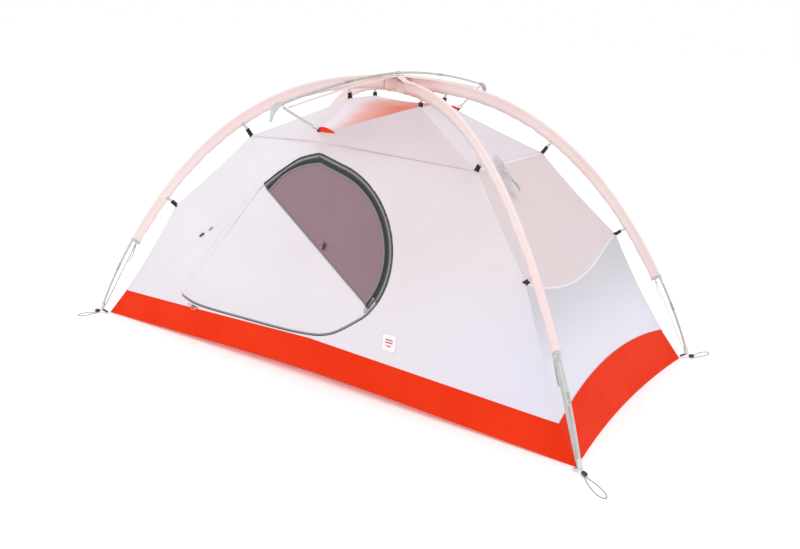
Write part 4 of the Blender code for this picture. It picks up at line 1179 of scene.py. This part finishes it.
def build_end(end, matrix):
    """An end wall in two cloths with a curved seam between, and the hood over it."""
    grid = end_grid()
    rows, columns = grid.shape[:2]
    cut = []
    for c in range(columns):
        above = grid[:, c, 2] - vent_height(grid[:, c, 1])
        cut.append(float(np.interp(0.0, above, np.arange(rows))))
    cut = np.array(cut)

    def between(low, high, count):
        out = np.empty((count, columns, 3))
        for c in range(columns):
            at = np.linspace(low[c], high[c], count)
            for k in range(3):
                out[:, c, k] = np.interp(at, np.arange(rows), grid[:, c, k])
        return out

    lower = between(np.zeros(columns), cut, 60)
    upper = between(cut, np.full(columns, rows - 1.0), 70)
    cloth(f"{end}_end_lower_cloth", turned(lower, matrix), "end_lower", TENT,
          [f"{end}_end_wall"], weave=(1, 2))
    cloth(f"{end}_end_upper_cloth", turned(upper, matrix), "end_upper", TENT, (),
          weave=(1, 2))
    for name, line, normal_grid in (("vent_seam", lower[-1], lower), ("hood_seam", upper[-1], upper)):
        normals = grid_normals(normal_grid)[-1]
        ribbon(f"{end}_{name}", turned(line[2:-2], matrix), turned(normals[2:-2], matrix), SEAM_WIDTH,
               SEAM_RISE, "seam", lift=0.0004)
    left = resample(hip_points((1, -1), (MID_CLIP, TOP_CLIP), 6), 41)
    right = resample(hip_points((1, 1), (MID_CLIP, TOP_CLIP), 6), 41)
    hood = coons_grid(resample([left[0], right[0]], 61), resample([left[-1], right[-1]], 61), left, right)
    flat = hood[..., [1, 0]]
    folds = (fan((-0.265, 0.500), 0.30, 96, 150, 3, 0.012, -0.0030)
             + fan((0.265, 0.500), 0.30, 192, 262, 3, 0.012, 0.0030)
             + [((0.10, 0.42), (0.13, 0.24), 0.012, 0.0045)])
    hood = hood + grid_normals(hood) * (fold_height(flat, folds) * edge_share(hood.shape[:2], 5))[..., None]
    cloth(f"{end}_hood_cloth", turned(hood, matrix), "hood", TENT, [f"{end}_hood"],
          weave=(1, 0))


def build_hip_bindings():
    """A narrow binding along each edge of the body, from the floor to the top clip."""
    for corner, quadrant in CORNERS.items():
        edge = resample(hip_points(quadrant, (BAND_CORNER, LOW_CLIP, MID_CLIP, TOP_CLIP), 8), 160)
        rod(f"{corner}_hip_binding", edge[1:-1], 0.0016, "seam", sides=8)


# Floor.
def build_floor():
    """The coated floor: a flat base and a leaning side that creases towards the corners."""
    half_x, half_y = FLOOR_LENGTH / 2, FLOOR_WIDTH / 2
    corner = in_plane((1, 1), *BAND_CORNER)
    bottom, top = [], []
    long_count, short_count = 260, 140
    for sign in (1, -1):
        for i in range(short_count):
            t = -1 + 2 * i / short_count
            bow = 1 - t * t
            bottom.append((sign * (half_x - FLOOR_END_BOW * bow), sign * half_y * t, 0.0))
            top.append((sign * (corner.x - FLOOR_END_BOW * bow), sign * corner.y * t,
                        BAND_HEIGHT + BAND_END_RISE * bow))
        for i in range(long_count):
            t = 1 - 2 * i / long_count
            bottom.append((sign * half_x * t, sign * half_y, FLOOR_SIDE_LIFT * side_lift(t)))
            edge = band_top(-t)
            top.append((-sign * edge.x, -sign * edge.y, edge.z))
    bottom, top = np.array(bottom), np.array(top)
    bottom[:, 2] += CLOTH
    rows = 22
    v = np.linspace(0, 1, rows)[:, None, None]
    side = (1 - v) * bottom[None] + v * top[None]
    around = travelled(bottom)
    crease = np.zeros(side.shape[:2])
    generator = np.random.default_rng(7)
    whole = around[-1]
    for _ in range(46):
        at, slope = generator.uniform(0, whole), generator.uniform(-0.9, 0.9)
        width, tall = generator.uniform(0.006, 0.014), generator.uniform(-0.0022, 0.0024)
        low, high = sorted(generator.uniform(0, 1, 2))
        place = at + slope * (np.linspace(0, 1, rows)[:, None] - 0.5) * 0.12
        window = np.clip((np.linspace(0, 1, rows) - low) * 6, 0,
                         1) * np.clip((high + 0.3 - np.linspace(0, 1, rows)) * 6, 0, 1)
        crease += tall * window[:, None] * np.exp(-(((around[None] - place) / width) ** 2))
    hold = np.sin(np.linspace(0, math.pi, rows))[:, None] ** 0.7
    middle = bottom.mean(0)
    out = bottom - middle
    out[:, 2] = 0.0
    out /= np.linalg.norm(out, axis=1, keepdims=True)
    side = side + out[None] * (crease * hold)[..., None]
    ring_count = 10
    inner = []
    for share in (*np.linspace(0.0, 0.90, ring_count)[1:], 0.917, 0.934, 0.950, 0.967, 0.984):
        ring = bottom * np.array((share, share, 1.0))
        rise = np.clip((share - 0.90) / 0.10, 0, 1) ** 1.5
        ring[:, 2] = CLOTH + (bottom[:, 2] - CLOTH) * rise
        inner.append(ring)
    points = np.concatenate([np.array([[0.0, 0.0, CLOTH]]), *inner, side.reshape(-1, 3)])
    size = len(bottom)
    faces = [(0, 1 + i, 1 + (i + 1) % size) for i in range(size)]
    faces += [tuple(1 + k for k in f) for f in grid_faces(len(inner) + rows, size, closed=True)]
    uv = points[:, :2].copy()
    side_start = 1 + len(inner) * size
    heights = np.broadcast_to(np.linspace(0, 1, rows)[:, None] * 0.13, (rows, size))
    uv[side_start:] = np.stack([np.broadcast_to(around[None], (rows, size)), heights], axis=-1).reshape(-1,
                                                                                                        2)
    item = outward(mesh_object("floor_cloth", points, faces, uv))
    item.data.set_sharp_from_angle(angle=math.radians(45))
    thicken(item, CLOTH)
    finish_piece(item, "floor", TENT, ["floor_tub"])
    loop = np.concatenate([top, top[:1]])
    normals = np.concatenate([out, out[:1]])
    normals = normals * 0.98 + np.array((0.0, 0.0, 0.2))
    ribbon("floor_seam_tape", loop, normals, 0.008, SEAM_RISE, "floor", lift=0.0008)


# Poles, sleeves and clips.
def build_poles():
    """Each pole as its tube, with the ferrules that join its sections."""
    half = [*stations(0.0, SLEEVE_END_REACH, 40), *stations(SLEEVE_END_REACH, POLE_FOOT_REACH, 12)[1:]]
    reaches = [-r for r in reversed(half)] + half[1:]
    for name, quadrant in (("upper_hoop", (1, 1)), ("lower_hoop", (1, -1))):
        top = hoop_top(quadrant)
        points = [in_plane(quadrant, r, hoop_height(r, top)) for r in reaches]
        rod(f"{name}_tube", points, POLE_RADIUS, "pole", sides=16)
        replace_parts(bpy.data.objects[f"{name}_tube"], f"{name}_pole")
        for sign in (-1, 1):
            low, high = sign * 1.150, sign * 1.166
            part = [in_plane(quadrant, r, hoop_height(r, top)) for r in np.linspace(low, high, 8)]
            rod(f"{name}_ferrule_{'left' if sign < 0 else 'right'}", part, POLE_RADIUS * 1.13, "ferrule",
                sides=16)
    steps = 60
    points = [(0.0, BROW_REACH * i / steps, brow_height(BROW_REACH * i / steps)) for i in range(-steps,
                                                                                                steps + 1)]
    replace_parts(rod("brow_tube", points, POLE_RADIUS, "pole", sides=16), "brow_pole")
    for side, sign in (("front", -1), ("back", 1)):
        part = [(0.0, y, brow_height(y)) for y in np.linspace(sign * 0.300, sign * 0.345, 8)]
        rod(f"brow_ferrule_{side}", part, POLE_RADIUS * 1.13, "ferrule", sides=16)


def build_sleeve(corner, quadrant):
    """A sleeve with a round channel for the pole and a flat hanging edge, gathered in soft ripples."""
    outer_radius, bore_radius, edge_half, sides = 0.0062, 0.0053, 0.0009, 14
    places = stations(SLEEVE_TOP_REACH, SLEEVE_END_REACH, 150)
    rings, inner_rings, edge = [], [], []
    for i, reach in enumerate(places):
        centre, _, inward = hoop_frame(quadrant, reach)
        depth = sleeve_depth(reach) + 0.0008 * math.sin(i * 0.9) + 0.0006 * math.sin(i * 0.37 + 1.0)
        wave = 0.0011 * math.sin(i * 0.61) + 0.0008 * math.sin(i * 0.23 + 0.5)
        section = []
        for k in range(sides):
            angle = 2 * math.pi * (k + 0.5) / sides
            out, beside = math.cos(angle), math.sin(angle)
            if out >= -0.62:
                section.append((-out * outer_radius, beside * outer_radius))
        bend = [(0.0105, 0.0022), (0.017, 0.0014), (0.025, 0.0011), (depth, edge_half)]
        top = [p for p in section if p[1] > 0]
        low = [p for p in section if p[1] <= 0]
        ring = top + [(d, s) for d, s in bend] + [(d, -s) for d, s in reversed(bend)] + low
        points = []
        for d, s in ring:
            share = min(max((d - 0.006) / (depth - 0.006), 0.0), 1.0)
            points.append(in_plane(quadrant, *(centre + inward * d), s + wave * share))
        rings.append(points)
        angles = [2 * math.pi * (k + 0.5) / sides for k in range(sides)]
        inner_rings.append([in_plane(quadrant, *(centre - inward * math.cos(a) * bore_radius),
                                     math.sin(a) * bore_radius) for a in angles])
        edge.append(in_plane(quadrant, *(centre + inward * (depth - 0.004)), edge_half + wave * 0.9))
    outer = np.array([[tuple(p) for p in ring] for ring in rings])
    length = np.concatenate([[0.0], np.cumsum(np.linalg.norm(np.diff(outer[:, 0], axis=0), axis=1))])
    around = np.linspace(0, 0.09, outer.shape[1])
    uv = np.stack(np.broadcast_arrays(around[None, :], length[:, None]), axis=-1)
    item = outward(mesh_object(f"{corner}_sleeve_cloth", outer,
                               grid_faces(len(outer), outer.shape[1], closed=True), uv))
    thicken(item, CLOTH, -1.0)
    finish_piece(item, "sleeve", TENT, [f"{corner}_sleeve"])
    build_cuff(corner, quadrant)


def build_cuff(corner, quadrant):
    """The pale webbing cuff that closes a sleeve's low end and carries its buckle."""
    rings = []
    for reach in np.linspace(1.0885, 1.0935, 5):
        centre, _, inward = hoop_frame(quadrant, reach)
        ring = []
        for k in range(16):
            angle = 2 * math.pi * k / 16
            out, beside = math.cos(angle), math.sin(angle)
            depth = 0.0066 * -out if out > -0.2 else 0.0345 * -out
            ring.append(in_plane(quadrant, *(centre + inward * depth),
                                 beside * (0.0068 if out > -0.2 else 0.0030)))
        rings.append([tuple(p) for p in ring])
    rings = np.array(rings)
    item = outward(mesh_object(f"{corner}_sleeve_cuff", rings, grid_faces(len(rings), 16, closed=True),
                               np.stack(np.broadcast_arrays(np.linspace(0, 0.08, 16)[None, :],
                                                            np.linspace(0, 0.02, 5)[:, None]), axis=-1)))
    thicken(item, 0.0008, 1.0)
    return finish_piece(item, "pale", TENT)


def build_hub():
    """The crossing's patch: two strips along the hoops and one along the brow pole, with its clip."""
    height, reach, width = 1.0740, 0.150, 0.050
    pieces = []
    for level, quadrant in ((0.0, (1, 1)), (0.0006, (1, -1))):
        top = hoop_top(quadrant)
        grid = []
        for r in np.linspace(-reach, reach, 81):
            share = min(abs(r) / (0.55 * reach), 1.0)
            share = share * share * (3 - 2 * share)
            own = hoop_height(r, top) + POLE_RADIUS + 0.0030
            crown = height + level + (own - height - level) * share
            wide = width + (0.018 - width) * share
            droop = 0.0030 + 0.0045 * share
            grid.append([tuple(in_plane(quadrant, r, crown - droop * a * a - 0.0005 * math.cos(r * 120 + a),
                                        a * wide / 2)) for a in np.linspace(-1, 1, 15)])
        pieces.append((np.array(grid), f"hub_cloth_{len(pieces)}"))
        web = []
        for r in np.linspace(-1.15 * SLEEVE_TOP_REACH, 1.15 * SLEEVE_TOP_REACH, 31):
            under = hoop_height(r, top) - POLE_RADIUS
            web.append([tuple(in_plane(quadrant, r, under - (SLEEVE_TOP_DEPTH - 0.005) * b,
                                       0.0008 * math.sin(r * 80 + b * 2))) for b in np.linspace(0, 1, 13)])
        pieces.append((np.array(web), f"hub_web_{len(pieces)}"))
    far, near, low = 0.655, 0.060, 0.997
    for side, matrix in SIDES.items():
        path = smooth([(0, -near + 0.030, height - 0.0012), (0, -near, height - 0.0014), (0, -0.36, 1.0405),
                       (0, -far, low)], 16)
        t = np.linspace(0, 1, len(path))
        wide = 0.044 + (0.014 - 0.044) * np.clip(t * 1.2, 0, 1)
        rows = [path + np.stack([np.full(len(path), a) * wide / 2, np.zeros(len(path)),
                                 -0.004 * a * a * np.ones(len(path))],
                                 axis=1) for a in np.linspace(-1, 1, 9)]
        pieces.append((turned(np.stack(rows, axis=1), matrix), f"{side}_brow_strip"))
    for i, (grid, name) in enumerate(pieces):
        cloth(name, grid, "sleeve", TENT, ["sleeve_hub"] if i == 0 else ())
    collar = [(0.0, y, brow_height(y)) for y in np.linspace(-0.014, 0.014, 9)]
    rod("brow_clip_collar", collar, 0.0068, "grey_plastic", sides=20,
        profile=[0.82, 0.95, 1.0, 0.93, 0.93, 0.93, 1.0, 0.95, 0.82])
    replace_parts(bpy.data.objects["brow_clip_collar"], "brow_hub_clip")


def plane_ribbon(name, quadrant, path, width, thick, material, body=TENT, stands_for=(), twist=0.0):
    """A strap whose path is given in a hoop's plane. Its width lies across that plane, or is turned."""
    across = np.array(in_plane(quadrant, 0.0, 0.0, 1.0))
    points = np.array([in_plane(quadrant, *p) for p in path])
    ahead = np.gradient(points, axis=0)
    if twist:
        whole = points[-1] - points[0]
        aside = np.cross(whole / np.linalg.norm(whole), across)
        across = across * math.cos(twist) + aside * math.sin(twist)
    out = np.cross(ahead, across)
    out /= np.linalg.norm(out, axis=1, keepdims=True)
    wide = np.broadcast_to(np.array(width, float), (len(points),))[:, None]
    half = thick / 2
    ring = []
    for a, b in ((-0.5, -0.8), (-0.46, -1.0), (0.46, -1.0), (0.5, -0.8), (0.5, 0.8), (0.46, 1.0),
                 (-0.46, 1.0), (-0.5, 0.8)):
        ring.append(points + across * a * wide + out * b * half)
    rings = np.stack(ring, axis=1)
    length = travelled(points)
    spread = np.array((-0.5, -0.46, 0.46, 0.5, 0.5, 0.46, -0.46, -0.5)) * float(np.max(wide))
    uv = np.stack(np.broadcast_arrays(spread[None, :], length[:, None]), axis=-1)
    return finish_piece(capped_tube(name, rings, uv, FIRM_EDGE), material, body, stands_for)


def build_clips(corner, quadrant):
    """A black tab sewn to the body's edge, with a plastic hook that takes the sleeve's edge."""
    for level, place in CLIPS.items():
        reach = nearest_reach(quadrant, place)
        pole = Vector((reach, hoop_height(reach, hoop_top(quadrant))))
        start = Vector(place)
        way = (pole - start).normalized()
        length = (pole - start).length - sleeve_depth(reach)
        beside = Vector((way.y, -way.x))
        tab_end = start + way * length * 0.62
        path = [start - way * 0.006 + (tab_end - start + way * 0.006) * i / 10 for i in range(11)]
        swell = [p + beside * 0.0010 * math.sin(math.pi * i / 10) for i, p in enumerate(path)]
        plane_ribbon(f"{corner}_{level}_tab", quadrant, swell, 0.0165, 0.0034, "black",
                     stands_for=[f"{corner}_{level}_clip"], twist=CLIP_TWIST)
        fold = [start - way * 0.003 + beside * 0.0010, start + way * 0.008 + beside * 0.0010]
        plane_ribbon(f"{corner}_{level}_tab_fold", quadrant, resample(fold, 5), 0.0172, 0.0050, "black",
                     twist=CLIP_TWIST)
        neck = tab_end - way * 0.003
        tip = pole - way * (sleeve_depth(reach) - 0.004)
        bar = [neck, neck.lerp(tip, 0.3), neck.lerp(tip, 0.65) + beside * 0.0020, tip + beside * 0.0034,
               tip + way * 0.005 + beside * 0.0026, tip + way * 0.006 - beside * 0.0004,
               tip + way * 0.001 - beside * 0.0030, tip - way * 0.005 - beside * 0.0034]
        hook = smooth([tuple(p) for p in bar], 4)
        taper = np.interp(np.linspace(0, 1, len(hook)), (0.0, 0.2, 0.5, 1.0), (0.015, 0.012, 0.0085, 0.0070))
        plane_ribbon(f"{corner}_{level}_hook", quadrant, hook, taper, 0.0024, "hook_plastic",
                     twist=CLIP_TWIST)


def build_corner(corner, quadrant):
    """The pole's cup with the straps that tension the sleeve and tie in the floor, and its cord lock."""
    centre, tangent, inward = hoop_frame(quadrant, POLE_FOOT_REACH)
    end, end_tangent, end_inward = hoop_frame(quadrant, SLEEVE_END_REACH)
    bar = end + end_tangent * 0.0055 + end_inward * 0.020
    grip = centre + inward * 0.0072
    bend = Vector((1.2225, 0.045))
    top = bar + (bend - bar).normalized() * 0.012
    rise = smooth([tuple(p) for p in (grip + tangent * 0.010, grip - tangent * 0.012, bend,
                                      bend.lerp(top, 0.5), top)], 14)
    plane_ribbon(f"{corner}_tension_strap", quadrant, rise, 0.015, 0.0014, "pale",
                 stands_for=[f"{corner}_corner_anchor"])
    tail_end = top.lerp(bend, 0.30) + Vector((-0.010, 0.0))
    tail = smooth([tuple(top + end_inward * 0.003), tuple(top.lerp(tail_end, 0.5) + end_inward * 0.004),
                   tuple(tail_end)], 6)
    plane_ribbon(f"{corner}_strap_tail", quadrant, tail, 0.015, 0.0012, "pale")
    tie = [(1.2185, 0.0045), tuple(grip + tangent * 0.006)]
    plane_ribbon(f"{corner}_floor_strap", quadrant, smooth(tie, 8), 0.015, 0.0014, "black")
    cup = [in_plane(quadrant, *(centre + tangent * a)) for a in (-0.024, -0.020, -0.012, 0.0, 0.008, 0.012)]
    rod(f"{corner}_pole_cup", cup, 0.0082, "white_plastic", sides=20,
        profile=[0.90, 1.0, 0.98, 0.92, 0.85, 0.55])
    lock_at = in_plane(quadrant, 1.2640, 0.0085)
    way = in_plane(quadrant, 1.0, 0.0)
    body = [lock_at + way * s for s in (-0.010, -0.007, 0.0, 0.007, 0.010)]
    rod(f"{corner}_cord_lock", body, 0.0075, "dark_plastic", sides=16,
        profile=[0.6, 0.95, 1.0, 0.95, 0.6])


def build_brow_ends():
    """A plate on each end of the brow pole with its hanging tab, and the strap down to the brow clip."""
    end = BROW_REACH
    low = brow_height(BROW_REACH)
    for side, matrix in SIDES.items():
        spine = smooth([(0, -end - 0.0005, low + 0.001), (0, -end - 0.014, low - 0.001),
                        (0, -end - 0.030, low - 0.010),
                        (0, -end - 0.044, low - 0.026), (0, -end - 0.050, low - 0.041),
                        (0, -end - 0.056, low - 0.055)], 6)
        t = np.linspace(0, 1, len(spine))
        wide = np.interp(t, (0, 0.2, 0.5, 0.7, 1.0), (0.024, 0.030, 0.025, 0.014, 0.011))
        thick = np.interp(t, (0, 0.3, 0.6, 1.0), (0.0115, 0.0085, 0.0035, 0.0016))
        across = np.array((1.0, 0.0, 0.0))
        ahead = np.gradient(spine, axis=0)
        out = np.cross(ahead, across)
        out /= np.linalg.norm(out, axis=1, keepdims=True)
        shape = [(-0.5, -0.3), (-0.42, -0.5), (0.42, -0.5), (0.5, -0.3), (0.5, 0.3), (0.42, 0.5),
                 (-0.42, 0.5), (-0.5, 0.3)]
        rings = np.stack([spine + across * a * wide[:, None] + out * b * thick[:, None] for a, b in shape],
                         axis=1)
        uv = np.stack(np.broadcast_arrays(np.arange(8)[None, :] * 0.004, t[:, None] * 0.08), axis=-1)
        item = capped_tube(f"{side}_brow_plate", turned(rings, matrix), uv, FIRM_EDGE)
        finish_piece(item, "grey_plastic", TENT, [f"{side}_brow_end"])
        clip = Vector((0.0, -BROW_CLIP[0], BROW_CLIP[1]))
        head = Vector((0.0, -end + 0.006, low - 0.012))
        foot = clip + Vector((0.0, -0.030, 0.022))
        line = smooth([tuple(head), tuple(head.lerp(foot, 0.5) + Vector((0, 0, -0.001))), tuple(foot)], 10)
        normal = np.repeat(np.array(turned(Vector((0.0, -0.5, 0.85)).normalized(),
                                           matrix))[None],
                           len(line), axis=0)
        sideways = np.repeat(np.array((1.0, 0.0, 0.0))[None], len(line), axis=0)
        strap = ribbon(f"{side}_brow_webbing", turned(line, matrix), sideways, 0.010, 0.0014, "pale")
        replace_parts(strap, f"{side}_brow_strap")
        ring_at = clip + Vector((0.0, -0.026, 0.019))
        ring = [turned(ring_at + Vector((0.011 * math.cos(a), -0.008 * math.sin(a), 0.006 * math.sin(a))),
                       matrix)
                for a in np.linspace(0, 2 * math.pi * 0.995, 33)]
        rod(f"{side}_brow_ring", ring, 0.0031, "white_plastic", sides=10)
        tab = smooth([tuple(clip + Vector((0, 0.004, -0.003))), tuple(clip + Vector((0, -0.010, 0.009))),
                      tuple(clip + Vector((0, -0.021, 0.015)))], 6)
        normal = normal[:len(tab)]
        ribbon(f"{side}_brow_tab", turned(tab, matrix), normal, 0.014, 0.0024, "black")


def build_buckles(corner):
    """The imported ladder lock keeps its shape, with softened edges."""
    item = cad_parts[f"{corner}_ladder_lock"]
    paint(item, "grey_plastic", 0.0003)


def paint(item, material, bevel):
    item.data.materials.clear()
    item.data.materials.append(MAT[material])
    modifier = item.modifiers.new("edge", "BEVEL")
    modifier.width = bevel
    modifier.segments = 2
    modifier.limit_method = "ANGLE"


def build_sliders(side, matrix):
    """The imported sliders, each with a cord pull on its tab."""
    foot = f"{side}_door_slider"
    paint(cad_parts[foot], "slider", 0.0003)
    paint(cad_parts[f"{side}_window_slider"], "slider", 0.0003)
    at = (DOOR_PULL[0] + PULL_REACH, DOOR_PULL[1])
    pull = smooth([(at[0], at[1]), (at[0] - 0.012, at[1] - 0.006), (at[0] - 0.030, at[1] + 0.004),
                   (at[0] - 0.048, at[1] + 0.010), (at[0] - 0.036, at[1] - 0.004),
                   (at[0] - 0.016, at[1] - 0.012),
                   (at[0] - 0.001, at[1] - 0.002)], 7)
    lift = 0.0085 + 0.003 * np.sin(np.linspace(0, math.pi, len(pull)))
    rod(f"{side}_door_pull", turned(door_points(pull, lift), matrix), 0.0013, "red_cord",
        f"{side}_zip_slider", sides=8)
    angle = WINDOW_PULL
    radius = (DOOR_RADIUS + WINDOW_RADIUS) / 2
    spot = np.array((DOOR_CENTRE[0] + radius * math.cos(angle), DOOR_CENTRE[1] + radius * math.sin(angle)))
    way = np.array((math.cos(angle - math.pi / 2), math.sin(angle - math.pi / 2)))
    beside = np.array((-way[1], way[0]))
    ends = [spot + way * 0.030, spot + way * 0.046 + beside * 0.005, spot + way * 0.064 + beside * 0.001,
            spot + way * 0.048 - beside * 0.005, spot + way * 0.031 - beside * 0.001]
    pull = smooth(ends, 7)
    rod(f"{side}_window_pull", turned(door_points(pull, np.full(len(pull), 0.0080)), matrix), 0.0011,
        "dark_cord",
        f"{side}_window_zip_slider", sides=8)


# Studio.
def area_light(name, place, aim, size, power):
    data = bpy.data.lights.new(name, "AREA")
    data.shape = "DISK"
    data.size = size
    data.energy = power
    lamp = bpy.data.objects.new(name, data)
    bpy.context.scene.collection.objects.link(lamp)
    lamp.location = place
    lamp.rotation_mode = "QUATERNION"
    lamp.rotation_quaternion = (Vector(aim) - Vector(place)).to_track_quat("-Z", "Y")


def build_studio():
    """A pale floor, an even white surround and soft light from the upper left."""
    half = 30.0
    floor = mesh_object("studio_floor",
                        [(-half, -half, 0), (half, -half, 0), (half, half, 0), (-half, half, 0)],
                        [(0, 1, 2, 3)])
    floor.location.z = -0.0012
    floor.data.materials.append(ground_material())
    world = bpy.data.worlds.new("studio")
    world.use_nodes = True
    background = world.node_tree.nodes["Background"]
    background.inputs["Color"].default_value = (1.0, 1.0, 1.0, 1.0)
    background.inputs["Strength"].default_value = 1.0
    bpy.context.scene.world = world
    bpy.context.scene.view_settings.view_transform = "Standard"
    area_light("key", (-2.6, -3.4, 4.2), (0.0, 0.0, 0.4), 3.0, 45.0)
    area_light("fill", (3.6, -0.6, 2.4), (0.3, 0.0, 0.4), 2.6, 12.0)


build_camera()
for corner_name, corner_quadrant in CORNERS.items():
    build_stake_loop(corner_name, corner_quadrant)
build_guyline()
build_floor()
side_wall = wall_grid()
for side_name, side_matrix in SIDES.items():
    build_side_wall(side_name, side_matrix, side_wall)
    build_wall_trim(side_name, side_matrix, side_wall)
    build_door(side_name, side_matrix)
    build_upper(side_name, side_matrix)
    build_sliders(side_name, side_matrix)
build_roof()
for end_name, end_matrix in ENDS.items():
    build_end(end_name, end_matrix)
build_hip_bindings()
build_poles()
for corner_name, corner_quadrant in CORNERS.items():
    build_sleeve(corner_name, corner_quadrant)
    build_clips(corner_name, corner_quadrant)
    build_corner(corner_name, corner_quadrant)
    build_buckles(corner_name)
build_hub()
build_brow_ends()
build_studio()
